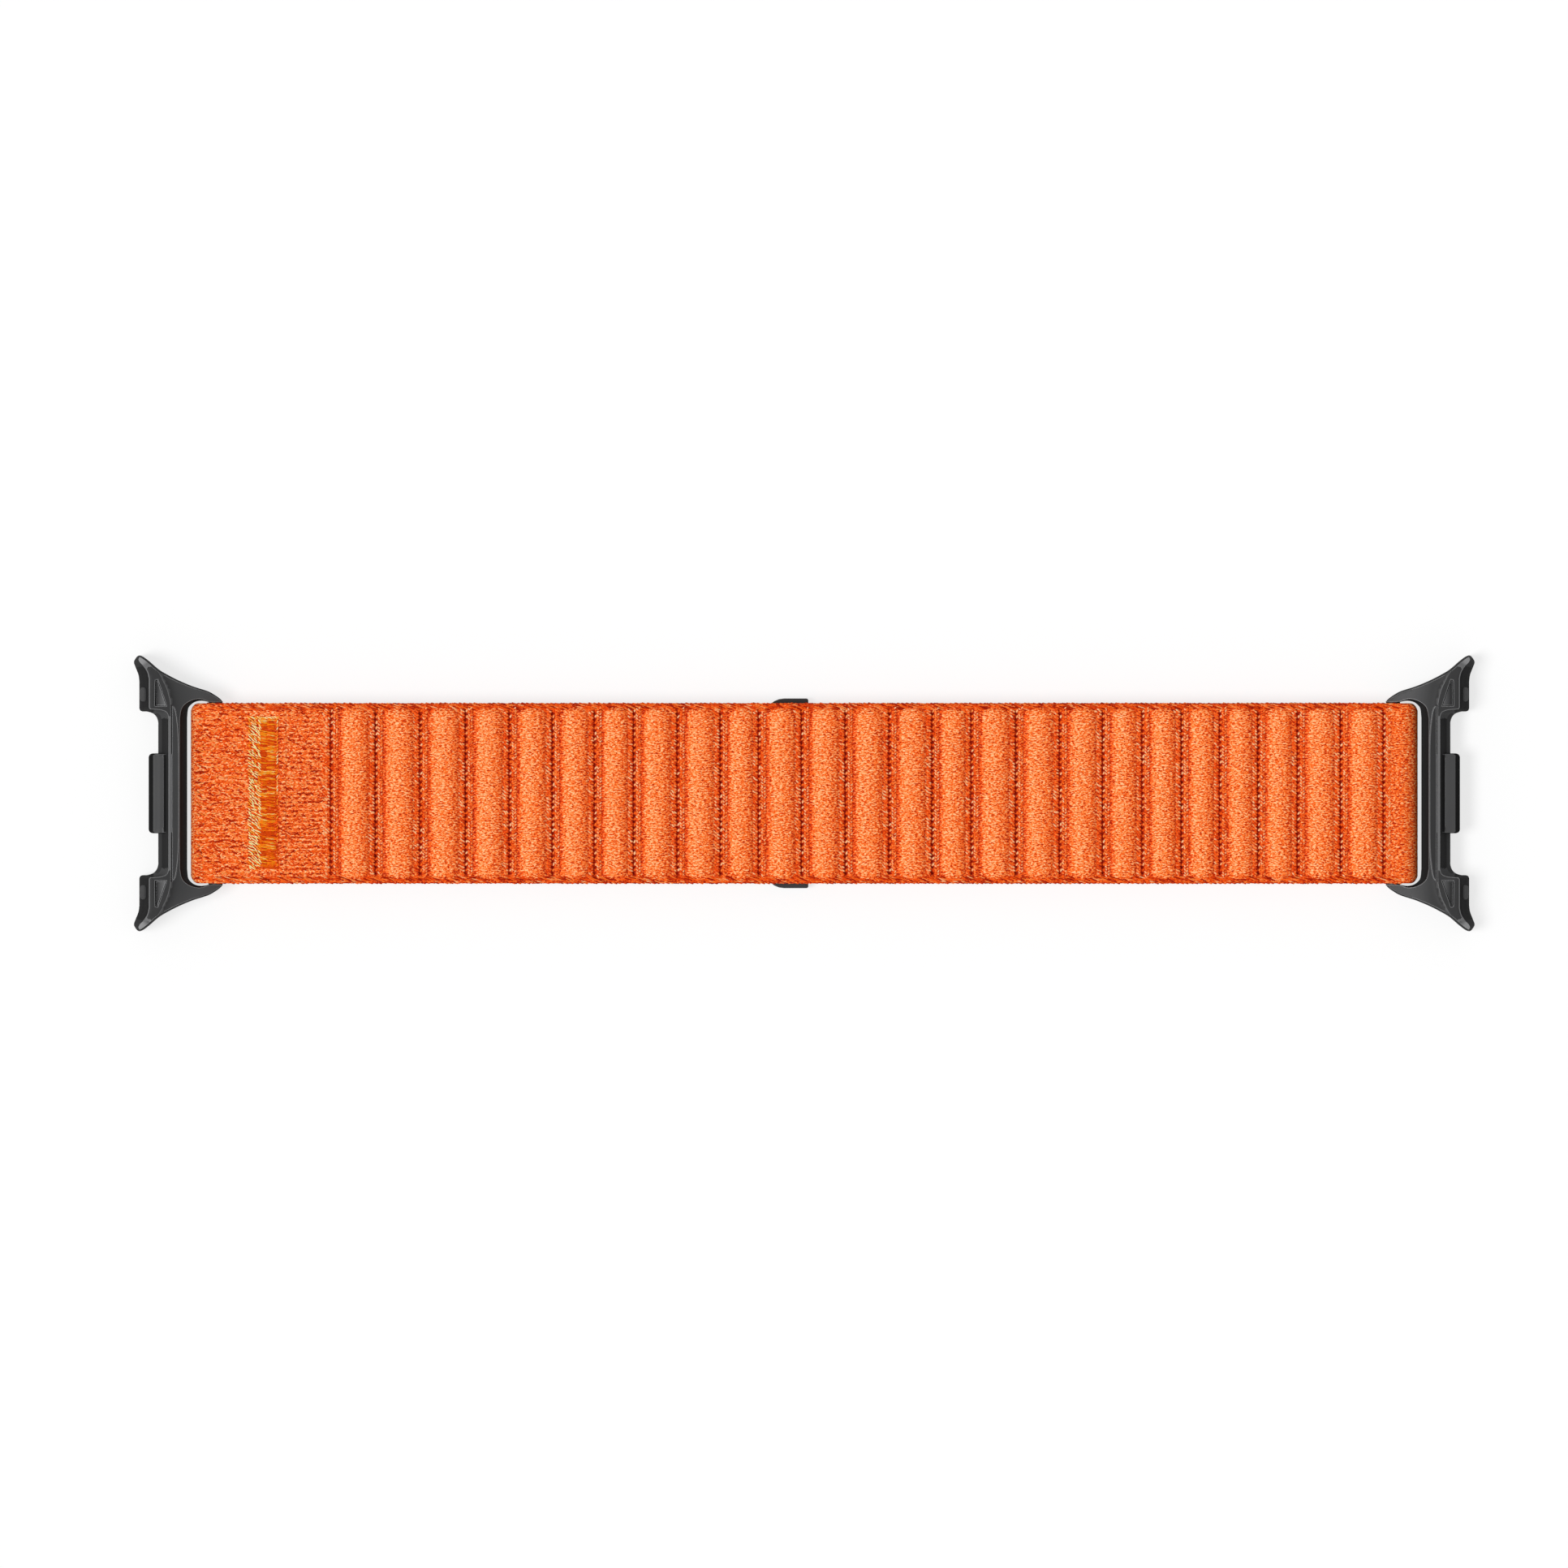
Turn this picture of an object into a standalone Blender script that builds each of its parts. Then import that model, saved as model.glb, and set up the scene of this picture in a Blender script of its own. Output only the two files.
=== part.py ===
# Nylon watch strap, laid flat with its skin side up.
#
# One woven band with padded ribs is sewn round the left adapter's bar, runs to the right adapter,
# turns round its bar and comes back underneath as the tail. The tail ends in a metal hook at
# mid-length, whose tongue sits in a woven loop on the band's underside. Each rib is a piece of its
# own, and the band bends at every second gutter between the ribs.
#
# X runs along the strap, Y across it, Z up. The origin is at the middle of the footprint, on the
# surface that the strap lies on. Lengths are in metres.

import math

import bmesh
import bpy
from mathutils import Matrix, Vector

MM = 0.001

# Woven band
STRAP_WIDTH = 22.2 * MM
WEB_THICKNESS = 1.0 * MM
RIB_COUNT = 25
MEAN_PITCH = 5.188 * MM
# Length of each rib, left to right, as a share of the mean pitch: the weave isn't quite even.
PITCH_SHARES = (
    1.06, 1.06, 1.08, 1.04, 1.02, 1.00, 0.93, 1.04, 1.02, 0.91, 1.02, 1.04, 1.04,
    1.02, 0.93, 1.06, 1.04, 1.02, 0.94, 0.93, 0.91, 0.91, 0.94, 1.02, 1.02,
)
CUT_GAP = 0.3 * MM
RIBS_PER_BEND = 2

# Padded ribs
PAD_HEIGHT = 0.5 * MM
PAD_LEAD = 1.25 * MM
PAD_TRAIL = 0.85 * MM
PAD_END_ROUND = 1.3 * MM
SELVEDGE = 0.55 * MM
PAD_STEPS = 6
PAD_END_STEPS = 2

# Woven loops under the band, which the hook's tongue goes into
LOOP_BAR_WIDTH = 1.6 * MM
LOOP_BAR_THICKNESS = 0.4 * MM
LOOP_SIDE_INSET = 0.4 * MM
LOOP_SIDE_WIDTH = 1.6 * MM
LAYER_GAP = 0.3 * MM
WELD_DEPTH = 0.3 * MM

# Hook and the tail's sewn end round the hook's bar. The hook's rib lies just left of the middle.
HOOK_RIB = RIB_COUNT // 2 - 1
HOOK_LENGTH = 5.4 * MM
HOOK_SIDE_PROUD = 0.6 * MM
HOOK_THICKNESS = 0.7 * MM
HOOK_OVERHANG = 0.8 * MM
HOOK_BAR_WIDTH = 1.1 * MM
HOOK_SPINE_WIDTH = 1.0 * MM
HOOK_ARM_WIDTH = 1.1 * MM
HOOK_FRONT_CORNER = 2.4 * MM
HOOK_BACK_CORNER = 0.25 * MM
TONGUE_THICKNESS = 0.5 * MM
TONGUE_SIDE_CLEARANCE = 0.6 * MM
TONGUE_RISER = 0.6 * MM
TONGUE_PAST_LOOP = 0.25 * MM
END_LOOP_THICKNESS = 0.5 * MM
END_LOOP_SETBACK = 0.15 * MM
END_LOOP_TAPER = 1.6 * MM
SOFT_CLEARANCE = 0.3 * MM

# Ends of the band, measured from each adapter's bar
LEFT_END_LENGTH = 14.3 * MM
RIGHT_END_LENGTH = 1.2 * MM
FOLD_REACH = 3.03 * MM
FOLD_CORNER = 1.0 * MM
TURNED_UNDER_LENGTH = 7.8 * MM
TURNED_UNDER_START = 1.2 * MM

# Sewn blocks of thread
LEFT_SEAM_START = 4.15 * MM
LEFT_SEAM_LENGTH = 3.65 * MM
TAIL_SEAM_LENGTH = 1.5 * MM
TAIL_SEAM_INSET = 0.9 * MM
SEAM_SIDE_INSET = 1.85 * MM
THREAD_THICKNESS = 0.2 * MM
THREAD_SEAT = 0.35 * MM
THREAD_CLEARANCE = 0.3 * MM

# Adapters: reaches are measured from the bar towards the watch case
BAR_CLEARANCE = 0.35 * MM
BAR_SEAT = 0.4 * MM
SIDE_CLEARANCE = 0.3 * MM
SLOT_GAP = 0.53 * MM
SLOT_CORNER = 1.6 * MM
SPINE_REACH = 7.05 * MM
HORN_REACH = 10.08 * MM
HORN_SPREAD = 5.65 * MM
HORN_FOOT_REACH = 9.41 * MM
HORN_FOOT_INSET = 1.3 * MM
HORN_FOOT_FILLET = 1.2 * MM
SHOULDER_RISE = 0.3 * MM
# Outer edge of a horn, from the bar out to the tip and back in along the case: shares of the
# horn's reach and of its spread beyond the slot.
HORN_SHARES = (
    (-0.070, 0.0), (-0.055, 0.025), (0.002, 0.11), (0.097, 0.213), (0.287, 0.323), (0.476, 0.466),
    (0.648, 0.628), (0.723, 0.722), (0.809, 0.856), (0.885, 0.959), (0.928, 1.0), (0.975, 0.94),
    (1.0, 0.84), (0.97, 0.686), (0.946, 0.585), (0.9335, 0.365),
)
# Side view of an adapter: shares of the horn's reach and of the adapter's height.
SIDE_SHARES = (
    (-0.12, 0.37), (0.0, 0.25), (0.13, 0.13), (0.24, 0.046), (0.34, 0.0), (0.913, 0.0),
    (1.02, 0.15), (1.02, 0.24), (0.9335, 0.37), (0.8135, 0.93), (0.754, 1.0), (0.446, 1.0),
    (0.28, 0.95), (0.13, 0.86), (-0.03, 0.77), (-0.12, 0.67),
)
SEAT_LOW_SHARES = (0.9335, 0.37)
SEAT_HIGH_SHARES = (0.8135, 0.93)
# Three corners of the hollow in a horn's top face, as shares of the reach and of the spread.
POCKET_SHARES = ((0.734, 0.468), (0.734, -0.117), (0.582, -0.117))
POCKET_DEPTH = 0.9 * MM
STEP_REACH = 5.71 * MM
STEP_DEPTH = 1.8 * MM

# Locking tongue of an adapter, called the latch here, and the dampers on its horns
LATCH_REACH = 8.22 * MM
LATCH_WIDTH = 9.86 * MM
LATCH_CORNER = 0.5 * MM
LATCH_BOTTOM = 1.3 * MM
LATCH_HEIGHT = 3.1 * MM
LATCH_CHAMFER = 0.64 * MM
LATCH_CLEARANCE = 0.3 * MM
BUMPER_LENGTH = 1.9 * MM
BUMPER_WIDTH = 1.77 * MM
BUMPER_OFFSET = 0.8 * MM
BUMPER_SEAT = 0.5 * MM
BUMPER_PROUD = 0.25 * MM
BUMPER_CLEARANCE = 0.3 * MM

# Round parts and cutters
ARC_STEPS = 6
FOLD_STEPS = 10
BAR_SIDES = 16
OVERRUN = 1.0 * MM

# Heights, from the surface that the strap lies on
END_LOOP_HEIGHT = HOOK_THICKNESS + 2 * (SOFT_CLEARANCE + END_LOOP_THICKNESS)
TAIL_MID = END_LOOP_HEIGHT / 2
LOOP_BOTTOM = END_LOOP_HEIGHT + LAYER_GAP
SLOT_BOTTOM = LOOP_BOTTOM + LOOP_BAR_THICKNESS
SLOT_HEIGHT = TONGUE_THICKNESS + 2 * SOFT_CLEARANCE
WEB_BOTTOM = SLOT_BOTTOM + SLOT_HEIGHT
WEB_TOP = WEB_BOTTOM + WEB_THICKNESS
MAIN_MID = WEB_BOTTOM + WEB_THICKNESS / 2
FOLD_MID = (TAIL_MID + MAIN_MID) / 2
FOLD_OUTER = (MAIN_MID - TAIL_MID + WEB_THICKNESS) / 2
FOLD_INNER = FOLD_OUTER - WEB_THICKNESS
FOLD_CENTRE = FOLD_REACH - FOLD_OUTER
BAR_RADIUS = FOLD_INNER - BAR_CLEARANCE
ADAPTER_HEIGHT = WEB_TOP + SHOULDER_RISE

# Places along the strap
BAND_LENGTH = sum(PITCH_SHARES) * MEAN_PITCH
BAR_SPAN = LEFT_END_LENGTH + BAND_LENGTH + RIGHT_END_LENGTH
LEFT_BAR = -BAR_SPAN / 2
RIGHT_BAR = BAR_SPAN / 2
SLOT_REACH = FOLD_REACH + SLOT_GAP

# Places across the strap, from its middle
HALF_WIDTH = STRAP_WIDTH / 2
SLOT_HALF = HALF_WIDTH + SIDE_CLEARANCE
HOOK_HALF = HALF_WIDTH + HOOK_SIDE_PROUD
SEAM_HALF = HALF_WIDTH - SEAM_SIDE_INSET
LOOP_OUTER = HALF_WIDTH - LOOP_SIDE_INSET
LOOP_INNER = LOOP_OUTER - LOOP_SIDE_WIDTH
TONGUE_HALF = LOOP_INNER - TONGUE_SIDE_CLEARANCE


def gutter(number):
    """Place along X of a gutter: number 0 lies left of rib 1, number 1 right of it, and so on."""
    return LEFT_BAR + LEFT_END_LENGTH + sum(PITCH_SHARES[:number]) * MEAN_PITCH


# Last rib of the stretch that the strap bends from, and the first rib that the tail runs under
ROOT_FIRST = HOOK_RIB
ROOT_LAST = HOOK_RIB + 2
TAIL_FIRST = HOOK_RIB + 2

# The loop that holds the hook, and the hook's own places along X
HOOK_LOOP = (gutter(HOOK_RIB - 1) + gutter(HOOK_RIB)) / 2
HOOK_BACK = gutter(HOOK_RIB) + HOOK_OVERHANG
HOOK_FRONT = HOOK_BACK - HOOK_LENGTH
HOOK_BAR_FRONT = HOOK_BACK - HOOK_BAR_WIDTH
TONGUE_TIP = HOOK_LOOP + LOOP_BAR_WIDTH / 2 + TONGUE_PAST_LOOP


def clear_scene():
    for thing in list(bpy.data.objects):
        bpy.data.objects.remove(thing)


def finish(name, red, green, blue, roughness, metallic):
    """A plain material in linear colour."""
    material = bpy.data.materials.new(name)
    material.use_nodes = True
    shader = material.node_tree.nodes["Principled BSDF"]
    shader.inputs["Base Color"].default_value = (red, green, blue, 1.0)
    shader.inputs["Roughness"].default_value = roughness
    shader.inputs["Metallic"].default_value = metallic
    return material


def across(x, z, y):
    """An outline seen from the side, pulled along Y."""
    return (x, y, z)


def upward(x, y, z):
    """An outline seen from above, pulled along Z."""
    return (x, y, z)


def lengthwise(y, z, x):
    """An outline seen from the strap's end, pulled along X."""
    return (x, y, z)


def make_object(name, body_mesh, material):
    """Turns a finished bmesh into an object in the scene."""
    bmesh.ops.recalc_face_normals(body_mesh, faces=body_mesh.faces)
    mesh = bpy.data.meshes.new(name)
    body_mesh.to_mesh(mesh)
    body_mesh.free()
    mesh.materials.append(material)
    thing = bpy.data.objects.new(name, mesh)
    bpy.context.scene.collection.objects.link(thing)
    return thing


def prism(name, outline, low, high, place, material):
    """A closed solid: the outline pulled from low to high."""
    body = bmesh.new()
    first = [body.verts.new(place(p, q, low)) for p, q in outline]
    last = [body.verts.new(place(p, q, high)) for p, q in outline]
    body.faces.new(first)
    body.faces.new(last)
    for index in range(len(outline)):
        following = (index + 1) % len(outline)
        body.faces.new((first[index], first[following], last[following], last[index]))
    return make_object(name, body, material)


def combine(target, tool, operation):
    """Joins, cuts or trims the target with the tool, and removes the tool."""
    modifier = target.modifiers.new(operation.lower(), "BOOLEAN")
    modifier.operation = operation
    modifier.object = tool
    graph = bpy.context.evaluated_depsgraph_get()
    result = bpy.data.meshes.new_from_object(target.evaluated_get(graph))
    target.modifiers.clear()
    target.data = result
    bpy.data.objects.remove(tool)


def arc(centre_p, centre_q, radius, start, end, steps):
    """Points on an arc, from the start angle to the end angle in degrees."""
    points = []
    for step in range(steps + 1):
        angle = math.radians(start + (end - start) * step / steps)
        points.append((centre_p + radius * math.cos(angle), centre_q + radius * math.sin(angle)))
    return points


def box_outline(low_p, high_p, low_q, high_q):
    return [(low_p, low_q), (high_p, low_q), (high_p, high_q), (low_p, high_q)]


def smooth(thing):
    """Shades the round faces smooth and keeps the real edges sharp."""
    thing.data.shade_smooth()
    thing.data.set_sharp_from_angle(angle=math.radians(40))


def pad_stations(low, high):
    """Places along X across a rib, each with the share of the pad's height that it has there."""
    start = low + PAD_LEAD
    width = high - PAD_TRAIL - start
    stations = [(low + CUT_GAP / 2, 0)]
    for step in range(PAD_STEPS + 1):
        turn = math.pi * step / PAD_STEPS
        stations.append((start + width * (1 - math.cos(turn)) / 2, math.sin(turn)))
    stations.append((high - CUT_GAP / 2, 0))
    return stations


def end_stations():
    """Places along Y across the strap, each with the share of the pad's height it has there."""
    inner = HALF_WIDTH - SELVEDGE
    near = [(-HALF_WIDTH, 0)]
    for step in range(PAD_END_STEPS + 1):
        turn = math.pi / 2 * step / PAD_END_STEPS
        near.append((-inner + PAD_END_ROUND * (1 - math.cos(turn)), math.sin(turn)))
    far = [(-place, share) for place, share in reversed(near)]
    return near + far


def web_piece(name, low, high, middle, facing, material):
    """One rib between two gutters: a flat web with a crowned pad on the side that faces up or down."""
    columns = pad_stations(low, high)
    rows = end_stations()
    padded = middle + facing * WEB_THICKNESS / 2
    plain = middle - facing * WEB_THICKNESS / 2
    body = bmesh.new()
    skin = []
    for x, lengthwise_share in columns:
        line = []
        for y, sideways_share in rows:
            height = facing * PAD_HEIGHT * lengthwise_share * sideways_share
            line.append(body.verts.new((x, y, padded + height)))
        skin.append(line)
    for left, right in zip(skin, skin[1:]):
        for row in range(len(rows) - 1):
            body.faces.new((left[row], right[row], right[row + 1], left[row + 1]))
    rim = skin[0][:]
    rim += [line[-1] for line in skin[1:]]
    rim += list(reversed(skin[-1][:-1]))
    rim += [line[0] for line in reversed(skin[1:-1])]
    back = [body.verts.new((vertex.co.x, vertex.co.y, plain)) for vertex in rim]
    for index in range(len(rim)):
        following = (index + 1) % len(rim)
        body.faces.new((rim[index], rim[following], back[following], back[index]))
    body.faces.new(back)
    return make_object(name, body, material)


def loop_bar(centre, material):
    """The woven loop under a rib, a U seen from the strap's end: the hook's tongue fits in it."""
    top = WEB_BOTTOM + WELD_DEPTH
    outline = [(-LOOP_OUTER, LOOP_BOTTOM), (LOOP_OUTER, LOOP_BOTTOM), (LOOP_OUTER, top)]
    outline += [(LOOP_INNER, top), (LOOP_INNER, SLOT_BOTTOM), (-LOOP_INNER, SLOT_BOTTOM)]
    outline += [(-LOOP_INNER, top), (-LOOP_OUTER, top)]
    half = LOOP_BAR_WIDTH / 2
    return prism("loop_bar", outline, centre - half, centre + half, lengthwise, material)


def main_rib(number, material):
    low = gutter(number - 1)
    high = gutter(number)
    rib = web_piece(f"rib_{number:02d}", low, high, MAIN_MID, 1, material)
    combine(rib, loop_bar((low + high) / 2, material), "UNION")
    smooth(rib)
    return rib


def tail_rib(number, material):
    low = gutter(number - 1)
    high = gutter(number)
    rib = web_piece(f"tail_rib_{number:02d}", low, high, TAIL_MID, -1, material)
    smooth(rib)
    return rib


def fold_plan(length, material):
    """The band's end seen from above, with its two rounded corners, as a solid to trim with."""
    half = HALF_WIDTH
    corner = half - FOLD_CORNER
    centre = FOLD_CORNER - FOLD_REACH
    outline = [(length, -half), (length, half)]
    outline += arc(centre, corner, FOLD_CORNER, 90, 180, ARC_STEPS)
    outline += arc(centre, -corner, FOLD_CORNER, 180, 270, ARC_STEPS)
    return prism("fold_plan", outline, -OVERRUN, WEB_TOP + OVERRUN, upward, material)


def place_end(thing, bar, direction):
    """Moves a piece made round a bar at zero to its own bar, mirrored for the right-hand end."""
    thing.data.transform(Matrix.Diagonal((direction, 1, 1, 1)))
    thing.data.transform(Matrix.Translation((bar, 0, 0)))
    if direction < 0:
        thing.data.flip_normals()


def thread_seat(low, high, face, depth, material):
    """Cutter for the shallow seat that a block of thread sinks into."""
    half = SEAM_HALF + THREAD_CLEARANCE
    outline = box_outline(low - THREAD_CLEARANCE, high + THREAD_CLEARANCE, -half, half)
    return prism("thread_seat", outline, face - depth, face + depth, upward, material)


def left_end(material):
    """The flat end of the band, turned round the left bar and sewn to itself."""
    under = WEB_BOTTOM - WEB_THICKNESS
    rise = under - (FOLD_MID - FOLD_OUTER)
    length = LEFT_END_LENGTH - CUT_GAP / 2
    outline = [(length, WEB_BOTTOM), (length, WEB_TOP)]
    outline += arc(-FOLD_CENTRE, FOLD_MID, FOLD_OUTER, 90, 270, FOLD_STEPS)
    outline += [(TURNED_UNDER_START, FOLD_MID - FOLD_OUTER), (TURNED_UNDER_START + rise, under)]
    outline += [(TURNED_UNDER_LENGTH, under), (TURNED_UNDER_LENGTH, WEB_BOTTOM)]
    end = prism("left_end", outline, -HALF_WIDTH, HALF_WIDTH, across, material)
    eye = arc(-FOLD_CENTRE, FOLD_MID, FOLD_INNER, 90, 270, FOLD_STEPS)
    corner = TURNED_UNDER_START - WEB_THICKNESS * math.tan(math.radians(22.5))
    eye += [(corner, FOLD_MID - FOLD_INNER), (corner + 2 * FOLD_INNER, FOLD_MID + FOLD_INNER)]
    reach = HALF_WIDTH + OVERRUN
    combine(end, prism("eye", eye, -reach, reach, across, material), "DIFFERENCE")
    combine(end, fold_plan(LEFT_END_LENGTH + OVERRUN, material), "INTERSECT")
    seam_end = LEFT_SEAM_START + LEFT_SEAM_LENGTH
    seat = thread_seat(LEFT_SEAM_START, seam_end, WEB_TOP, THREAD_SEAT, material)
    combine(end, seat, "DIFFERENCE")
    place_end(end, LEFT_BAR, 1)
    smooth(end)
    return end


def right_turn(material):
    """The short stretch of band that turns round the right bar, from the last rib to the tail."""
    length = RIGHT_END_LENGTH - CUT_GAP / 2
    outline = [(length, WEB_BOTTOM), (length, WEB_TOP)]
    outline += arc(-FOLD_CENTRE, FOLD_MID, FOLD_OUTER, 90, 270, FOLD_STEPS)
    outline += [(length, FOLD_MID - FOLD_OUTER), (length, FOLD_MID - FOLD_INNER)]
    outline += arc(-FOLD_CENTRE, FOLD_MID, FOLD_INNER, 270, 90, FOLD_STEPS)
    turn = prism("right_turn", outline, -HALF_WIDTH, HALF_WIDTH, across, material)
    combine(turn, fold_plan(RIGHT_END_LENGTH + OVERRUN, material), "INTERSECT")
    place_end(turn, RIGHT_BAR, -1)
    smooth(turn)
    return turn


def seam_block(name, low, high, bottom, material):
    """A block of sewn thread, as a thin plate."""
    top = bottom + THREAD_THICKNESS
    outline = box_outline(low, high, -SEAM_HALF, SEAM_HALF)
    return prism(name, outline, bottom, top, upward, material)


def left_stitching(material):
    start = LEFT_BAR + LEFT_SEAM_START
    bottom = WEB_TOP - THREAD_SEAT + THREAD_CLEARANCE
    return seam_block("left_stitching", start, start + LEFT_SEAM_LENGTH, bottom, material)


def end_loop_seam():
    """Ends along X of the thread that closes the tail's end loop."""
    high = gutter(HOOK_RIB + 1) - TAIL_SEAM_INSET
    return high - TAIL_SEAM_LENGTH, high


def tail_end_loop(material):
    """The tail's last stretch: doubled, sewn, and open where it goes round the hook's bar."""
    right = gutter(HOOK_RIB + 1) - CUT_GAP / 2
    centre = HOOK_BAR_FRONT + END_LOOP_SETBACK
    shoulder = HOOK_BACK + SOFT_CLEARANCE
    taper = shoulder + END_LOOP_TAPER
    outer = END_LOOP_HEIGHT / 2
    inner = outer - END_LOOP_THICKNESS
    top = TAIL_MID + WEB_THICKNESS / 2
    bottom = TAIL_MID - WEB_THICKNESS / 2
    outline = [(right, bottom), (right, top), (taper, top), (shoulder, TAIL_MID + outer)]
    outline += arc(centre, TAIL_MID, outer, 90, 270, FOLD_STEPS)
    outline += [(shoulder, TAIL_MID - outer), (taper, bottom)]
    half = HOOK_HALF - HOOK_ARM_WIDTH - SOFT_CLEARANCE
    end = prism("tail_end_loop", outline, -half, half, across, material)
    eye = arc(centre, TAIL_MID, inner, 90, 270, FOLD_STEPS)
    eye += [(shoulder, TAIL_MID - inner), (taper - END_LOOP_THICKNESS, TAIL_MID)]
    eye += [(shoulder, TAIL_MID + inner)]
    reach = half + OVERRUN
    combine(end, prism("eye", eye, -reach, reach, across, material), "DIFFERENCE")
    low, high = end_loop_seam()
    combine(end, thread_seat(low, high, bottom, THREAD_SEAT, material), "DIFFERENCE")
    smooth(end)
    return end


def tail_stitching(material):
    low, high = end_loop_seam()
    top = TAIL_MID - WEB_THICKNESS / 2 + THREAD_SEAT - THREAD_CLEARANCE
    return seam_block("tail_stitching", low, high, top - THREAD_THICKNESS, material)


def hook(material):
    """The metal hook: a flat frame round the tail's end, and a tongue raised into a woven loop."""
    front = HOOK_FRONT + HOOK_FRONT_CORNER
    front_side = HOOK_HALF - HOOK_FRONT_CORNER
    back = HOOK_BACK - HOOK_BACK_CORNER
    back_side = HOOK_HALF - HOOK_BACK_CORNER
    outline = arc(back, back_side, HOOK_BACK_CORNER, 0, 90, ARC_STEPS)
    outline += arc(front, front_side, HOOK_FRONT_CORNER, 90, 180, ARC_STEPS)
    outline += arc(front, -front_side, HOOK_FRONT_CORNER, 180, 270, ARC_STEPS)
    outline += arc(back, -back_side, HOOK_BACK_CORNER, 270, 360, ARC_STEPS)
    low = TAIL_MID - HOOK_THICKNESS / 2
    high = TAIL_MID + HOOK_THICKNESS / 2
    frame = prism("hook", outline, low, high, upward, material)
    window_half = HOOK_HALF - HOOK_ARM_WIDTH
    window = box_outline(HOOK_FRONT + HOOK_SPINE_WIDTH, HOOK_BAR_FRONT, -window_half, window_half)
    cutter = prism("window", window, low - OVERRUN, high + OVERRUN, upward, material)
    combine(frame, cutter, "DIFFERENCE")
    riser_front = HOOK_FRONT + (HOOK_SPINE_WIDTH - TONGUE_RISER) / 2
    riser_back = riser_front + TONGUE_RISER
    tongue_top = WEB_BOTTOM - SOFT_CLEARANCE
    tongue_bottom = tongue_top - TONGUE_THICKNESS
    profile = [(riser_front, TAIL_MID), (riser_back, TAIL_MID), (riser_back, tongue_bottom)]
    profile += [(TONGUE_TIP, tongue_bottom), (TONGUE_TIP, tongue_top), (riser_front, tongue_top)]
    tongue = prism("tongue", profile, -TONGUE_HALF, TONGUE_HALF, across, material)
    combine(frame, tongue, "UNION")
    smooth(frame)
    return frame


def horn_edge():
    """Half of an adapter's outline above its bar, from the bar round the horn to the spine."""
    points = []
    for reach_share, spread_share in HORN_SHARES:
        points.append((HORN_REACH * reach_share, SLOT_HALF + HORN_SPREAD * spread_share))
    foot = SLOT_HALF - HORN_FOOT_INSET
    centre = SPINE_REACH + HORN_FOOT_FILLET
    points.append((HORN_FOOT_REACH, foot))
    points += arc(centre, foot - HORN_FOOT_FILLET, HORN_FOOT_FILLET, 90, 180, ARC_STEPS)
    return points


def adapter_plan(material):
    """An adapter seen from above: two horns on a spine, open towards the strap."""
    upper = horn_edge()
    lower = [(reach, -side) for reach, side in reversed(upper)]
    corner = SLOT_REACH - SLOT_CORNER
    corner_side = SLOT_HALF - SLOT_CORNER
    slot = arc(corner, -corner_side, SLOT_CORNER, 270, 360, ARC_STEPS)
    slot += arc(corner, corner_side, SLOT_CORNER, 0, 90, ARC_STEPS)
    height = ADAPTER_HEIGHT + OVERRUN
    return prism("adapter_frame", upper + lower + slot, -OVERRUN, height, upward, material)


def adapter_side(material):
    """An adapter seen from the side, as a solid to trim the plan with."""
    outline = [(HORN_REACH * reach, ADAPTER_HEIGHT * height) for reach, height in SIDE_SHARES]
    half = SLOT_HALF + HORN_SPREAD + OVERRUN
    return prism("adapter_side", outline, -half, half, across, material)


def seat_frame():
    """Middle of the sloped face that meets the case, with its directions along and out of it."""
    low = Vector((HORN_REACH * SEAT_LOW_SHARES[0], ADAPTER_HEIGHT * SEAT_LOW_SHARES[1]))
    high = Vector((HORN_REACH * SEAT_HIGH_SHARES[0], ADAPTER_HEIGHT * SEAT_HIGH_SHARES[1]))
    along = (high - low).normalized()
    return (low + high) / 2, along, Vector((along.y, -along.x))


def bumper_outline(grow, sink, proud):
    """A damper seen from the side, lying on the sloped face."""
    middle, along, out = seat_frame()
    half = BUMPER_LENGTH / 2 + grow
    corners = ((-half, -sink), (half, -sink), (half, proud), (-half, proud))
    points = [middle + along * reach + out * height for reach, height in corners]
    return [(point.x, point.y) for point in points]


def bumper_span(side):
    """The two places along Y between which a damper lies."""
    near = side * (SLOT_HALF + BUMPER_OFFSET - BUMPER_WIDTH / 2)
    far = side * (SLOT_HALF + BUMPER_OFFSET + BUMPER_WIDTH / 2)
    return min(near, far), max(near, far)


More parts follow.
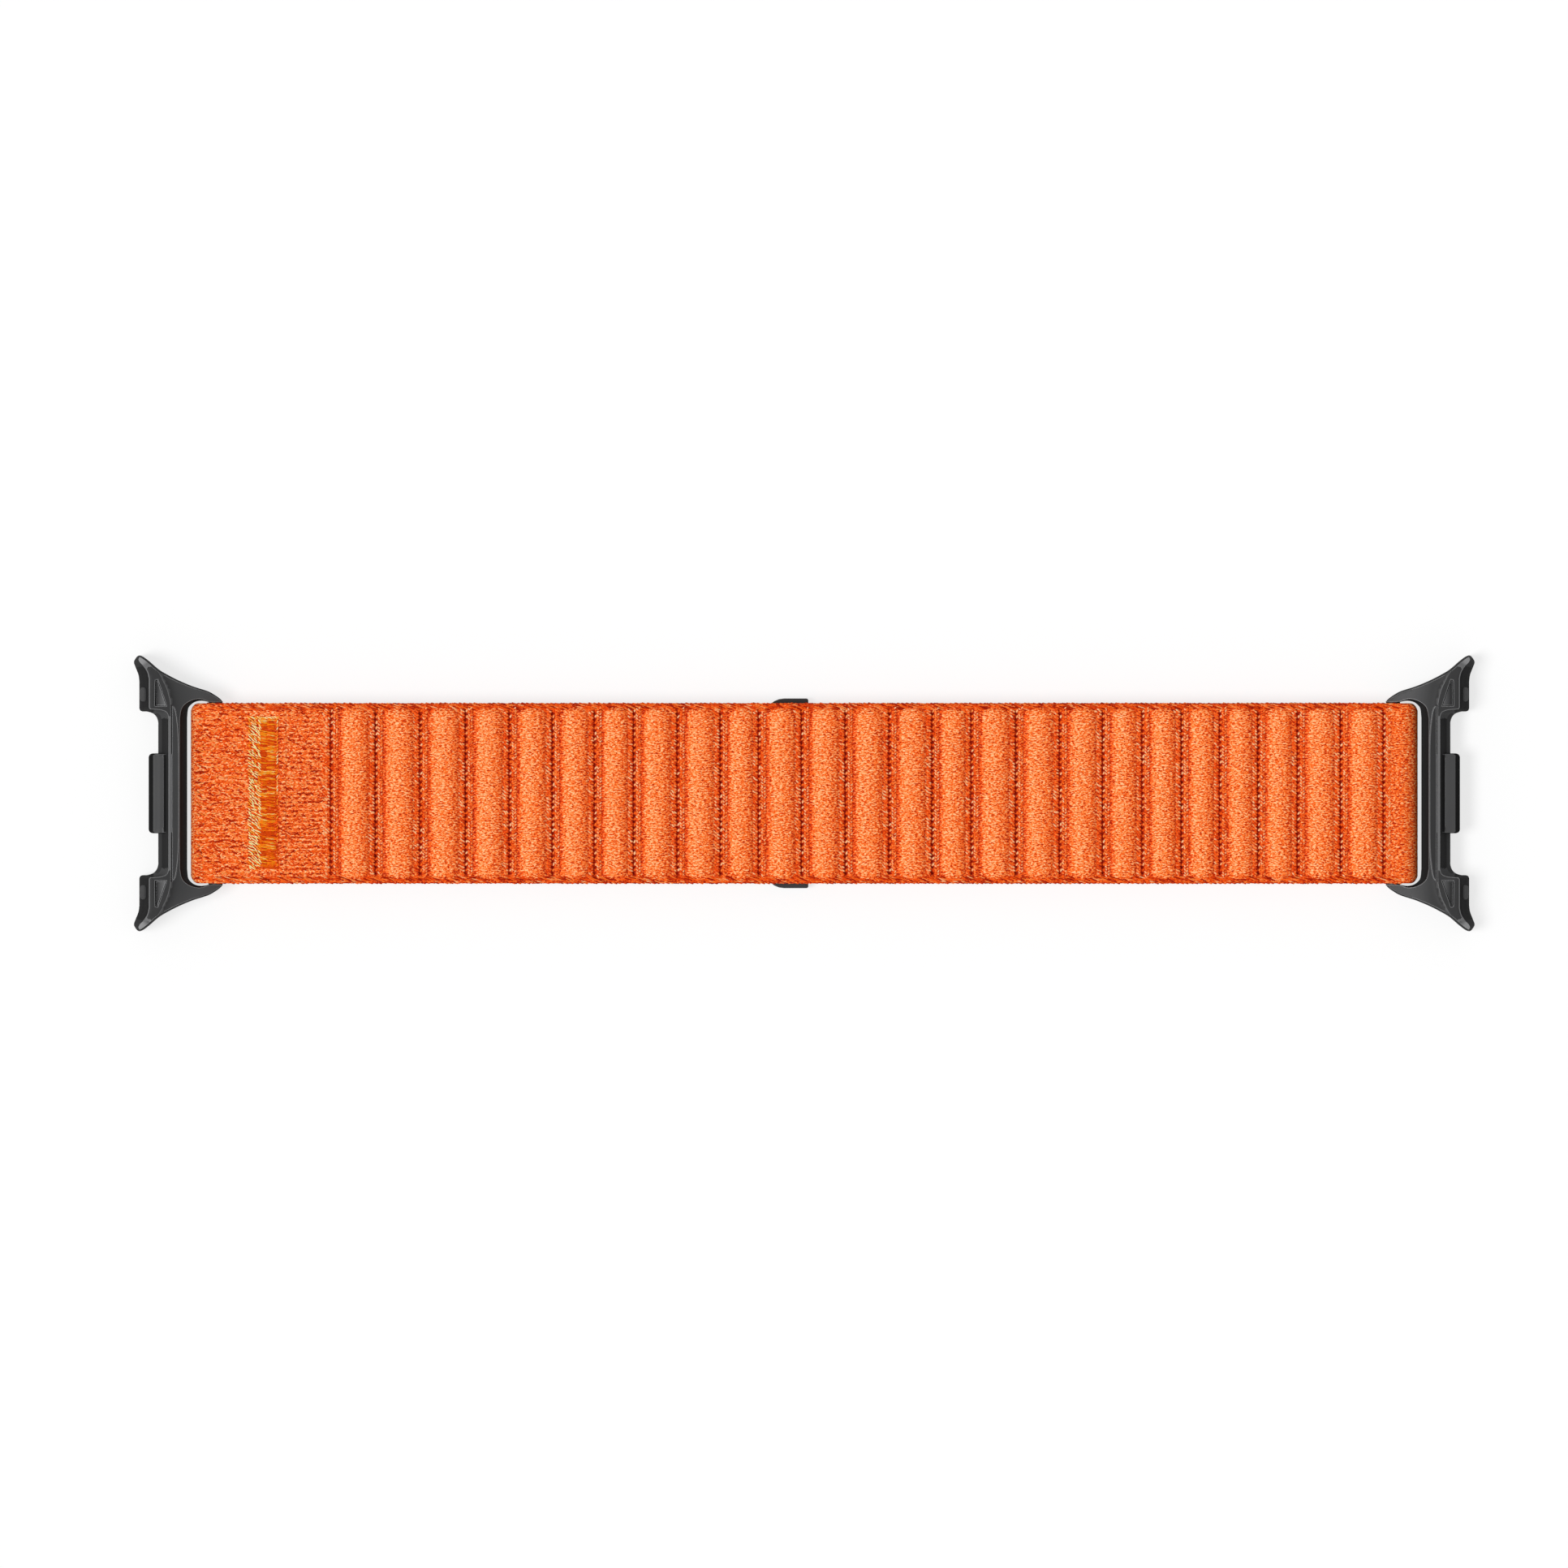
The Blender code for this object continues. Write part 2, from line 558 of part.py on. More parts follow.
def adapter_frame(name, bar, direction, material):
    frame = adapter_plan(material)
    frame.name = name
    frame.data.name = name
    combine(frame, adapter_side(material), "INTERSECT")
    top = ADAPTER_HEIGHT + OVERRUN
    step_half = SLOT_HALF - HORN_FOOT_INSET - HORN_FOOT_FILLET
    step = box_outline(STEP_REACH, SPINE_REACH + OVERRUN, -step_half, step_half)
    cutter = prism("step", step, ADAPTER_HEIGHT - STEP_DEPTH, top, upward, material)
    combine(frame, cutter, "DIFFERENCE")
    seat_half = LATCH_WIDTH / 2 + LATCH_CLEARANCE
    seat = box_outline(STEP_REACH - LATCH_CLEARANCE, SPINE_REACH + OVERRUN, -seat_half, seat_half)
    cutter = prism("seat", seat, LATCH_BOTTOM - LATCH_CLEARANCE, top, upward, material)
    combine(frame, cutter, "DIFFERENCE")
    recess = bumper_outline(BUMPER_CLEARANCE, BUMPER_SEAT, OVERRUN)
    for side in (-1, 1):
        corners = []
        for reach, spread in POCKET_SHARES:
            corners.append((HORN_REACH * reach, side * (SLOT_HALF + HORN_SPREAD * spread)))
        cutter = prism("pocket", corners, ADAPTER_HEIGHT - POCKET_DEPTH, top, upward, material)
        combine(frame, cutter, "DIFFERENCE")
        low, high = bumper_span(side)
        low -= BUMPER_CLEARANCE
        high += BUMPER_CLEARANCE
        combine(frame, prism("recess", recess, low, high, across, material), "DIFFERENCE")
    circle = arc(0, FOLD_MID, BAR_RADIUS, 0, 360 - 360 / BAR_SIDES, BAR_SIDES - 1)
    bar_half = SLOT_HALF + BAR_SEAT
    combine(frame, prism("bar", circle, -bar_half, bar_half, across, material), "UNION")
    place_end(frame, bar, -direction)
    smooth(frame)
    return frame


def latch(name, bar, direction, material):
    """The locking tongue that enters the watch case, with a sloped lip and rounded corners."""
    side = [(STEP_REACH, LATCH_BOTTOM), (LATCH_REACH, LATCH_BOTTOM)]
    top = LATCH_BOTTOM + LATCH_HEIGHT
    side += [(LATCH_REACH, top - LATCH_CHAMFER), (LATCH_REACH - LATCH_CHAMFER, top)]
    side += [(STEP_REACH, top)]
    half = LATCH_WIDTH / 2
    body = prism(name, side, -half, half, across, material)
    corner = LATCH_REACH - LATCH_CORNER
    plan = [(STEP_REACH - OVERRUN, half), (STEP_REACH - OVERRUN, -half)]
    plan += arc(corner, LATCH_CORNER - half, LATCH_CORNER, 270, 360, ARC_STEPS)
    plan += arc(corner, half - LATCH_CORNER, LATCH_CORNER, 0, 90, ARC_STEPS)
    trim = prism("latch_plan", plan, LATCH_BOTTOM - OVERRUN, top + OVERRUN, upward, material)
    combine(body, trim, "INTERSECT")
    place_end(body, bar, -direction)
    smooth(body)
    return body


def bumper(name, bar, direction, side, material):
    outline = bumper_outline(0, BUMPER_SEAT - BUMPER_CLEARANCE, BUMPER_PROUD)
    low, high = bumper_span(side)
    body = prism(name, outline, low, high, across, material)
    place_end(body, bar, -direction)
    return body


def pivot(name, place, parent):
    """An empty on a joint's axis, carried by the pivot of the body before it."""
    empty = bpy.data.objects.new(name, None)
    bpy.context.scene.collection.objects.link(empty)
    empty["place"] = place
    if parent is None:
        empty.location = place
    else:
        empty.parent = parent
        empty.location = Vector(place) - Vector(parent["place"])
    return empty


def hang(thing, carrier):
    """Gives a piece its origin on its carrier's joint, and parents it there."""
    thing.data.transform(Matrix.Translation(-Vector(carrier["place"])))
    thing.parent = carrier


def build_adapter(side_name, bar, direction, parent, metal, rubber):
    swivel = pivot(f"{side_name}_adapter_pivot", (bar, 0, FOLD_MID), parent)
    hang(adapter_frame(f"{side_name}_adapter_frame", bar, direction, metal), swivel)
    hang(latch(f"{side_name}_latch", bar, direction, metal), swivel)
    hang(bumper(f"{side_name}_bumper_upper", bar, direction, 1, rubber), swivel)
    hang(bumper(f"{side_name}_bumper_lower", bar, direction, -1, rubber), swivel)


def main():
    clear_scene()
    woven = finish("orange_nylon", 0.90, 0.17, 0.03, 0.85, 0.0)
    thread = finish("yellow_thread", 0.95, 0.55, 0.05, 0.7, 0.0)
    metal = finish("black_metal", 0.05, 0.05, 0.052, 0.4, 0.8)
    rubber = finish("black_rubber", 0.02, 0.02, 0.02, 0.8, 0.0)

    root = pivot("clasp_zone", (0, 0, 0), None)
    for number in range(ROOT_FIRST, ROOT_LAST + 1):
        hang(main_rib(number, woven), root)
    hang(tail_rib(TAIL_FIRST, woven), root)

    slide = pivot("hook_slide", (HOOK_LOOP, 0, TAIL_MID), root)
    hang(hook(metal), slide)
    hang(tail_end_loop(woven), slide)
    hang(tail_stitching(thread), slide)

    carrier = root
    for number in range(ROOT_FIRST - 1, 0, -1):
        if (ROOT_FIRST - 1 - number) % RIBS_PER_BEND == 0:
            carrier = pivot(f"left_bend_{number:02d}", (gutter(number), 0, MAIN_MID), carrier)
        hang(main_rib(number, woven), carrier)
    carrier = pivot("left_bend_00", (gutter(0), 0, MAIN_MID), carrier)
    hang(left_end(woven), carrier)
    hang(left_stitching(thread), carrier)
    build_adapter("left", LEFT_BAR, 1, carrier, metal, rubber)

    carrier = root
    for number in range(ROOT_LAST + 1, RIB_COUNT + 1):
        low = number - 1
        if (low - ROOT_LAST) % RIBS_PER_BEND == 0:
            carrier = pivot(f"right_bend_{low:02d}", (gutter(low), 0, MAIN_MID), carrier)
        hang(main_rib(number, woven), carrier)
        hang(tail_rib(number, woven), carrier)
    hang(right_turn(woven), carrier)
    build_adapter("right", RIGHT_BAR, -1, carrier, metal, rubber)


main()
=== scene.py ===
# %% [markdown]
# # A woven nylon watch strap
#
# The strap is one knitted nylon band with 25 padded ribs. It is sewn round a metal adapter at the
# left, turns round a second adapter at the right and comes back underneath to a flat metal hook.
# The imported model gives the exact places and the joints. This lesson dresses it: it weaves the
# band, sews it, and finishes the metal.

import math

import bmesh
import bpy
import numpy as np
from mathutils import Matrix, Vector
from mathutils.geometry import delaunay_2d_cdt


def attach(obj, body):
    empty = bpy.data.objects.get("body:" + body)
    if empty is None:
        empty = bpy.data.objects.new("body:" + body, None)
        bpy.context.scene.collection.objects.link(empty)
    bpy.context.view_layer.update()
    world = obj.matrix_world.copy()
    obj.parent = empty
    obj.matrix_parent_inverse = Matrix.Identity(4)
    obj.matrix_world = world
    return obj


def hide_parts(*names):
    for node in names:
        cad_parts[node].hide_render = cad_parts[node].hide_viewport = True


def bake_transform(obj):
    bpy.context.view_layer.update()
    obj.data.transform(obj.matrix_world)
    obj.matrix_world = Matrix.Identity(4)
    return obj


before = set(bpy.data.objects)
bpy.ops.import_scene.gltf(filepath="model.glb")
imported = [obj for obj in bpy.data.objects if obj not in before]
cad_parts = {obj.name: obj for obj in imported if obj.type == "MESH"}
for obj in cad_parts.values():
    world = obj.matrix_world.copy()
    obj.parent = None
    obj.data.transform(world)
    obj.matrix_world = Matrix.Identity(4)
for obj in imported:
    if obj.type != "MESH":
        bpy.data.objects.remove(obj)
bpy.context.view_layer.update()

# %% [markdown]
# ## Sizes
#
# Every length comes from a few driving sizes, the same that the model was built from. The ribs
# aren't quite even, because the weave isn't, so each has its own share of the mean pitch.

# %% Sizes of the band
MM = 0.001
STRAP_WIDTH = 22.2 * MM
WEB_THICKNESS = 1.0 * MM
RIB_COUNT = 25
MEAN_PITCH = 5.188 * MM
PITCH_SHARES = (
    1.06, 1.06, 1.08, 1.04, 1.02, 1.00, 0.93, 1.04, 1.02, 0.91, 1.02, 1.04, 1.04,
    1.02, 0.93, 1.06, 1.04, 1.02, 0.94, 0.93, 0.91, 0.91, 0.94, 1.02, 1.02,
)
LEFT_END_LENGTH = 14.3 * MM
RIGHT_END_LENGTH = 1.2 * MM
BAR_SPAN = LEFT_END_LENGTH + sum(PITCH_SHARES) * MEAN_PITCH + RIGHT_END_LENGTH
LEFT_BAR = -BAR_SPAN / 2
RIGHT_BAR = BAR_SPAN / 2
HALF_WIDTH = STRAP_WIDTH / 2
HALF_WEB = WEB_THICKNESS / 2
SELVEDGE = 0.55 * MM
MAIN_MID = 4.6 * MM
TAIL_MID = 1.15 * MM
FOLD_MID = (MAIN_MID + TAIL_MID) / 2
FOLD_RADIUS = (MAIN_MID - TAIL_MID) / 2
FOLD_REACH = 3.03 * MM
FOLD_CENTRE = FOLD_REACH - FOLD_RADIUS - HALF_WEB
FOLD_CORNER = 1.0 * MM


def gutter(number):
    """Place along X of a gutter: number 0 lies left of rib 1, number 1 right of it, and so on."""
    return LEFT_BAR + LEFT_END_LENGTH + sum(PITCH_SHARES[:number]) * MEAN_PITCH


GUTTERS = np.array([gutter(number) for number in range(RIB_COUNT + 1)])
print("first and last gutter, mm:", GUTTERS[0] / MM, GUTTERS[-1] / MM)

# %% [markdown]
# ## Building node trees in a script
#
# Shader trees and geometry trees are filled the same way: add a node, set its options, and feed its
# sockets with a plain value or with another node's output. Here each output is wrapped as a term.
# A sum of terms is then written as a sum, and every sign in it adds one Math node.

# %% Terms: node outputs that can be added, multiplied and compared
class Term:
    """One output of a node, with the tree that it belongs to."""

    def __init__(self, tree, socket):
        self.tree = tree
        self.socket = socket

    def __add__(self, other):
        return calc("ADD", self, other)

    def __sub__(self, other):
        return calc("SUBTRACT", self, other)

    def __rsub__(self, other):
        return calc("SUBTRACT", other, self)

    def __mul__(self, other):
        return calc("MULTIPLY", self, other)

    def __truediv__(self, other):
        return calc("DIVIDE", self, other)

    def __pow__(self, other):
        return calc("POWER", self, other)

    def __abs__(self):
        return calc("ABSOLUTE", self)

    def __gt__(self, other):
        return calc("GREATER_THAN", self, other)

    def __lt__(self, other):
        return calc("LESS_THAN", self, other)


def feed(socket, value):
    """Links the socket when the value is a term, and sets it otherwise."""
    if isinstance(value, Term):
        value.tree.links.new(value.socket, socket)
    else:
        socket.default_value = value


def feed_all(sockets, values):
    """Feeds several sockets, found by name or by number."""
    for key, value in values.items():
        feed(sockets[key], value)


def terms_of(tree, sockets):
    """Outputs as terms, by number and by name."""
    found = {}
    for number, socket in enumerate(sockets):
        found[number] = Term(tree, socket)
        found.setdefault(socket.name, found[number])
    return found


def add_node(tree, kind, inputs=None, **options):
    """Adds a node, sets its options, feeds its inputs and gives its outputs as terms."""
    made = tree.nodes.new(kind)
    for option, value in options.items():
        setattr(made, option, value)
    feed_all(made.inputs, inputs or {})
    return terms_of(tree, made.outputs)


def tree_of(*values):
    """The tree that the first term among the values belongs to."""
    return next(value.tree for value in values if isinstance(value, Term))


def calc(operation, *terms):
    """One Math node."""
    inputs = dict(enumerate(terms))
    return add_node(tree_of(*terms), "ShaderNodeMath", inputs, operation=operation)[0]


def clamped(term):
    """Keeps the result of a Math node between 0 and 1."""
    term.socket.node.use_clamp = True
    return term


def hump(place, middle, half):
    """1 at the middle, falling to 0 a half width away on both sides."""
    offset = (place - middle) / half
    return clamped(1.0 - offset * offset)


# %% Small building blocks of every tree
def new_group(kind, name, inputs, outputs):
    """A node group with named sockets. Each input is (name, socket type, value or None)."""
    tree = bpy.data.node_groups.new(name, kind)
    for label, socket_type, value in inputs:
        socket = tree.interface.new_socket(label, in_out="INPUT", socket_type=socket_type)
        if value is not None:
            socket.default_value = value
    for label, socket_type in outputs:
        tree.interface.new_socket(label, in_out="OUTPUT", socket_type=socket_type)
    given = terms_of(tree, tree.nodes.new("NodeGroupInput").outputs)
    return tree, given, tree.nodes.new("NodeGroupOutput").inputs


def split(place):
    """The X, Y and Z of a vector."""
    return add_node(place.tree, "ShaderNodeSeparateXYZ", {"Vector": place})


def joined(x, y):
    """A vector in the plane."""
    return add_node(x.tree, "ShaderNodeCombineXYZ", {"X": x, "Y": y})["Vector"]


def noise(place, scale, detail, roughness, distortion=0.0):
    """Cloudy noise around 0.5."""
    inputs = {"Vector": place, "Scale": scale, "Detail": detail, "Roughness": roughness,
              "Distortion": distortion}
    return add_node(place.tree, "ShaderNodeTexNoise", inputs)[0]


def between(value, low, high):
    """0 at low, 1 at high, and held there beyond them."""
    ends = {"Value": value, "From Min": low, "From Max": high}
    return add_node(value.tree, "ShaderNodeMapRange", ends)["Result"]


# %% Helpers for meshes and objects
def new_object(name, data):
    """An object at the origin, in the scene."""
    thing = bpy.data.objects.new(name, data)
    bpy.context.scene.collection.objects.link(thing)
    return thing


def new_mesh(name, points, faces):
    mesh = bpy.data.meshes.new(name)
    mesh.from_pydata(np.asarray(points).tolist(), [], faces)
    return mesh


def ring_faces(rings, points, first=0):
    """Quads that join each closed ring of points to the next."""
    index = first + np.arange(rings * points).reshape(rings, points)
    near, far = index[:-1], index[1:]
    quads = np.stack([near, far, np.roll(far, -1, 1), np.roll(near, -1, 1)], 2)
    return quads.reshape(-1, 4).tolist()


def tube_faces(rings, points, first=0):
    """The same, with both ends closed."""
    last = first + (rings - 1) * points
    start, end = list(range(first, first + points)), list(range(last, last + points))
    return ring_faces(rings, points, first) + [start, end[::-1]]


def face_outwards(mesh, merge=0.0):
    """Turns every face outwards, after joining the points that lie closer than merge."""
    body = bmesh.new()
    body.from_mesh(mesh)
    if merge:
        bmesh.ops.remove_doubles(body, verts=body.verts, dist=merge)
    bmesh.ops.recalc_face_normals(body, faces=body.faces)
    body.to_mesh(mesh)
    body.free()
    mesh.shade_smooth()


def outward_from(line):
    """The direction out of a line at each of its points, to the right of the way that it runs."""
    direction = np.gradient(line, axis=0)
    direction /= np.linalg.norm(direction, axis=1)[:, None]
    return np.column_stack([direction[:, 1], -direction[:, 0]])


def smooth(share):
    """A share from 0 to 1 that starts and ends gently."""
    return share ** 2 * (3 - 2 * share)


def corner_points(mesh):
    """The number of the point at each corner of each face."""
    numbers = np.zeros(len(mesh.loops), np.int32)
    mesh.loops.foreach_get("vertex_index", numbers)
    return numbers


def grow(base, tree, settings):
    """Runs a geometry tree on an object and keeps the result as its plain mesh."""
    modifier = base.modifiers.new(tree.name, "NODES")
    modifier.node_group = tree
    for item in tree.interface.items_tree:
        if item.in_out == "INPUT" and item.name in settings:
            modifier[item.identifier] = settings[item.name]
    graph = bpy.context.evaluated_depsgraph_get()
    mesh = bpy.data.meshes.new_from_object(base.evaluated_get(graph))
    base.modifiers.clear()
    base.data = mesh
    mesh.name = base.name


# %% [markdown]
# ## Nylon
#
# The yarn is a fine brushed nylon. Close up, each pad is a mass of short loops that lie along the
# strap, pale where they catch the light and deep red-orange between them. One node group makes that
# fuzz from stretched noise, and the band, the yarns and the thread all use it with their own
# sizes. The band reads its own flat map in millimetres, so that the pattern bends with the fabric.

# %% Node group: brushed yarn
FLOAT = "NodeSocketFloat"
VECTOR = "NodeSocketVector"
GEOMETRY = "NodeSocketGeometry"


def make_brushed_yarn():
    """Short loops from stretched noise: a height and a mask of fine flecks, both from 0 to 1."""
    inputs = [("Place", VECTOR, None), ("Loops Along", FLOAT, 2.2), ("Loops Across", FLOAT, 5.0)]
    outputs = [("Height", FLOAT), ("Fleck", FLOAT)]
    tree, given, wanted = new_group("ShaderNodeTree", "brushed yarn", inputs, outputs)
    parts = split(given["Place"])
    place = joined(parts["X"] * given["Loops Along"], parts["Y"] * given["Loops Across"])
    feed(wanted["Height"], noise(place, 1.0, 3.0, 0.65, 0.6))
    feed(wanted["Fleck"], between(noise(place, 2.3, 2.0, 0.6, 0.3), 0.56, 0.72))
    return tree


brushed_yarn = make_brushed_yarn()
print("node group:", brushed_yarn.name)

# %% Helpers for materials
def new_material(name):
    material = bpy.data.materials.new(name)
    material.use_nodes = True
    tree = material.node_tree
    return material, tree, tree.nodes["Principled BSDF"].inputs


def read(tree, name):
    """One of the mesh's own attributes."""
    return add_node(tree, "ShaderNodeAttribute", attribute_name=name)["Fac"]


def ramp(value, stops):
    """A colour ramp from (place, linear colour) stops."""
    colour = add_node(value.tree, "ShaderNodeValToRGB", {"Fac": value})["Color"]
    points = colour.socket.node.color_ramp.elements
    while len(points) < len(stops):
        points.new(1.0)
    for point, (place, shade) in zip(points, stops):
        point.position = place
        point.color = (*shade, 1.0)
    return colour


def mix(share, first, second, blend_type="MIX"):
    """Mixes two colours, each a term or a linear colour."""
    first, second = ((*one, 1.0) if isinstance(one, tuple) else one for one in (first, second))
    inputs = {0: share, 6: first, 7: second}
    tree = tree_of(share, first, second)
    return add_node(tree, "ShaderNodeMix", inputs, data_type="RGBA", blend_type=blend_type)[2]


def bump(shader, height, strength, distance):
    inputs = {"Height": height, "Strength": strength, "Distance": distance}
    feed(shader["Normal"], add_node(height.tree, "ShaderNodeBump", inputs)["Normal"])


# %% Material: the knitted band
NYLON_DEEP = (0.38, 0.012, 0.001)
NYLON_DARK = (0.90, 0.070, 0.004)
NYLON_BODY = (1.00, 0.142, 0.008)
NYLON_LIGHT = (1.00, 0.28, 0.055)
NYLON_PALE = (1.00, 0.56, 0.28)
NYLON_STOPS = (
    (0.16, NYLON_DEEP), (0.32, NYLON_DARK), (0.47, NYLON_BODY), (0.62, NYLON_LIGHT),
    (0.82, NYLON_PALE),
)
ROW_PITCH = 0.65
ROW_SWAY = 1.6
BASE_TONE = 0.34
FUZZ_CONTRAST = 2.8
PAD_PAINTED_LIGHT = 0.39
PAD_SHADE_FALL = 0.37
TURNED_LIFT = 0.08
GUTTER_SHADE = 0.04
HOLE_SHADE = 0.45
SEWN_SHADE = 0.24


def knit_rows(place):
    """The flat knit: light rows along the strap, parted by thin wavy dashes."""
    parts = split(place)
    slow = joined(parts["X"] * 1.3, parts["Y"])
    row = parts["Y"] / ROW_PITCH + noise(slow, 0.9, 2.0, 0.6) * ROW_SWAY
    line = clamped(1.0 - abs(calc("FRACT", row) - 0.5) / 0.17)
    kept = between(noise(slow, 2.1, 2.0, 0.7), 0.42, 0.56)
    return 0.17 - line * kept * 0.62


def make_band_material():
    """Brushed pads painted light at their leading side and shaded along each rib, holes, gutters and the
    sewn block painted darker as shade, and rows on the flat end.
    """
    material, tree, shader = new_material("orange_nylon_knit")
    place = add_node(tree, "ShaderNodeUVMap", uv_map="Rest")["UV"]
    loops = {"Place": place, "Loops Along": 3.0, "Loops Across": 6.6}
    yarn = add_node(tree, "ShaderNodeGroup", loops, node_tree=brushed_yarn)
    pad, rib = read(tree, "pad"), read(tree, "rib")
    flat = rib < -0.1
    turned = rib > RIB_COUNT + 0.08
    gutter = clamped(1.0 - pad * 4.0) - flat - turned
    tone = (yarn["Height"] - 0.5) * FUZZ_CONTRAST + BASE_TONE
    # Painted light and shade: each pad is painted lighter at its leading side and darker along its rib.
    tone = tone + pad * (PAD_PAINTED_LIGHT - calc("FRACT", rib) * PAD_SHADE_FALL)
    # Painted shade: the gutters, the holes and the band under the sewn block are painted darker.
    tone = tone + flat * knit_rows(place) + turned * TURNED_LIFT - gutter * GUTTER_SHADE
    tone = tone - read(tree, "hole") * HOLE_SHADE - read(tree, "sewn") * SEWN_SHADE
    feed_all(shader, {
        "Base Color": mix(yarn["Fleck"] * 0.25, ramp(tone, NYLON_STOPS), NYLON_PALE),
        "Roughness": 0.9, "Specular IOR Level": 0.06,
        "Sheen Weight": 0.03, "Sheen Roughness": 0.5, "Sheen Tint": (1.0, 0.62, 0.42, 1.0),
    })
    bump(shader, yarn["Height"], 0.35, 0.12 * MM)
    return material


band_material = make_band_material()
print("material:", band_material.name)

# %% Material: single yarns and threads
YARN_STOPS = (
    (0.06, NYLON_DEEP), (0.26, NYLON_DARK), (0.46, NYLON_BODY), (0.68, NYLON_LIGHT),
    (0.95, NYLON_PALE),
)
THREAD_STOPS = (
    (0.04, (0.70, 0.06, 0.001)), (0.28, (1.0, 0.17, 0.002)), (0.56, (1.0, 0.40, 0.012)),
    (0.80, (1.0, 0.90, 0.42)),
)
TWISTS_ALONG = 5.0
TWISTS_AROUND = 2.0


def make_yarn_material(name, stops, ply_depth, roughness):
    """Each stitch has its own tone, and the twist of its plies runs round it."""
    material, tree, shader = new_material(name)
    along = read(tree, "along")
    twist = along * TWISTS_ALONG + read(tree, "around") * TWISTS_AROUND
    ply = calc("SINE", twist * math.tau)
    middle = 0.5 - abs(along - 0.5)
    tone = read(tree, "tint") * 0.8 + middle * 0.5 + ply * 0.10 - 0.08
    feed_all(shader, {
        "Base Color": ramp(tone, stops), "Roughness": roughness, "Specular IOR Level": 0.04,
        "Sheen Weight": 0.01,
    })
    bump(shader, ply, 0.5, ply_depth)
    return material


yarn_material = make_yarn_material("orange_nylon_yarn", YARN_STOPS, 0.03 * MM, 0.7)
thread_material = make_yarn_material("yellow_sewing_thread", THREAD_STOPS, 0.02 * MM, 0.5)
print("materials:", yarn_material.name, thread_material.name)

# %% [markdown]
# ## Satin black metal and rubber
#
# The adapters and the hook are blasted and coated black: fine grain and slightly uneven gloss. Their
# edges are painted paler as a highlight. A node group gives the grain and finds the edges, so each
# metal piece uses the same coating in its own grey. The steep walls are painted dark as shade and the
# top faces painted brighter as highlights, so a mesh attribute tells each face how bright it is painted.

# %% Node group: blasted coating
EDGE_CONTRAST = 14.0


def make_blasted_coating():
    """Fine grain, slow cloudiness, and a mask of the edges for their painted highlight, on Object
    coordinates.
    """
    inputs = [("Grain Size", FLOAT, 9000.0), ("Edge Reach", FLOAT, 0.13 * MM)]
    outputs = [("Grain", FLOAT), ("Cloud", FLOAT), ("Edge", FLOAT)]
    tree, given, wanted = new_group("ShaderNodeTree", "blasted coating", inputs, outputs)
    place = add_node(tree, "ShaderNodeTexCoord")["Object"]
    feed(wanted["Grain"], noise(place, given["Grain Size"], 2.0, 0.6))
    feed(wanted["Cloud"], noise(place, 260.0, 3.0, 0.5))
    plain = add_node(tree, "ShaderNodeNewGeometry")["Normal"]
    rounded = add_node(tree, "ShaderNodeBevel", {"Radius": given["Edge Reach"]}, samples=6)["Normal"]
    both = {0: plain, 1: rounded}
    alike = add_node(tree, "ShaderNodeVectorMath", both, operation="DOT_PRODUCT")["Value"]
    feed(wanted["Edge"], clamped((1.0 - alike) * EDGE_CONTRAST))
    return tree


blasted_coating = make_blasted_coating()
print("node group:", blasted_coating.name)

# %% Materials: metals and rubber
CLOUD_SHADE = 0.85
EDGE_HIGHLIGHT_SHARE = 0.85
GRAIN_IN_GLOSS = 0.25
EDGE_IN_GLOSS = 0.08


def make_metal(name, body, edge_highlight, roughness):
    """A coated metal. Body is the grey of its faces, and the paler grey after it is painted on its edges
    as a highlight.
    """
    material, tree, shader = new_material(name)
    coat = add_node(tree, "ShaderNodeGroup", node_tree=blasted_coating)
    dark = tuple(part * CLOUD_SHADE for part in body)
    # Painted light and shade: each face's colour is multiplied by its painted brightness from the mesh
    # attribute.
    colour = mix(1.0, mix(coat["Cloud"], dark, body), read(tree, "finish"), "MULTIPLY")
    # Painted highlight: the edges found by the coating are mixed towards the paler grey.
    feed_all(shader, {
        "Base Color": mix(coat["Edge"] * EDGE_HIGHLIGHT_SHARE, colour, edge_highlight),
        "Roughness": (coat["Grain"] - 0.5) * GRAIN_IN_GLOSS + roughness - coat["Edge"] * EDGE_IN_GLOSS,
        "Metallic": 0.14, "Specular IOR Level": 0.0,
    })
    bump(shader, coat["Grain"], 0.25, 0.01 * MM)
    return material


def make_rubber():
    material, tree, shader = new_material("black_rubber_dull")
    coat = add_node(tree, "ShaderNodeGroup", {"Grain Size": 5200.0}, node_tree=blasted_coating)
    feed_all(shader, {
        "Base Color": mix(coat["Cloud"], (0.010, 0.010, 0.010), (0.026, 0.026, 0.027)),
        "Roughness": coat["Grain"] * 0.2 + 0.7,
    })
    bump(shader, coat["Grain"], 0.3, 0.02 * MM)
    return material


adapter_metal = make_metal("black_adapter_metal", (0.062, 0.062, 0.063), (0.29, 0.29, 0.295), 0.45)
latch_metal = make_metal("black_latch_metal", (0.073, 0.073, 0.074), (0.19, 0.19, 0.195), 0.42)
hook_metal = make_metal("dark_hook_metal", (0.054, 0.054, 0.055), (0.13, 0.13, 0.135), 0.42)
rubber_material = make_rubber()
print("metals:", adapter_metal.name, latch_metal.name, hook_metal.name)

# %% [markdown]
# ## The band as a swept sheet
#
# The real band is one knitted strip. In the model it bends at every second gutter, so the strip is
# made in stretches, each of which spans the two bodies of one joint. A stretch is a closed ring
# across the strap, swept along a path through the middle of the fabric. It is fine on the padded
# side, where the weave shows, and coarser on the plain side.

# %% The ring across the strap
SKIN_STEP = 0.1165 * MM
PLAIN_STEP = 0.4 * MM
EDGE_STEPS = 6


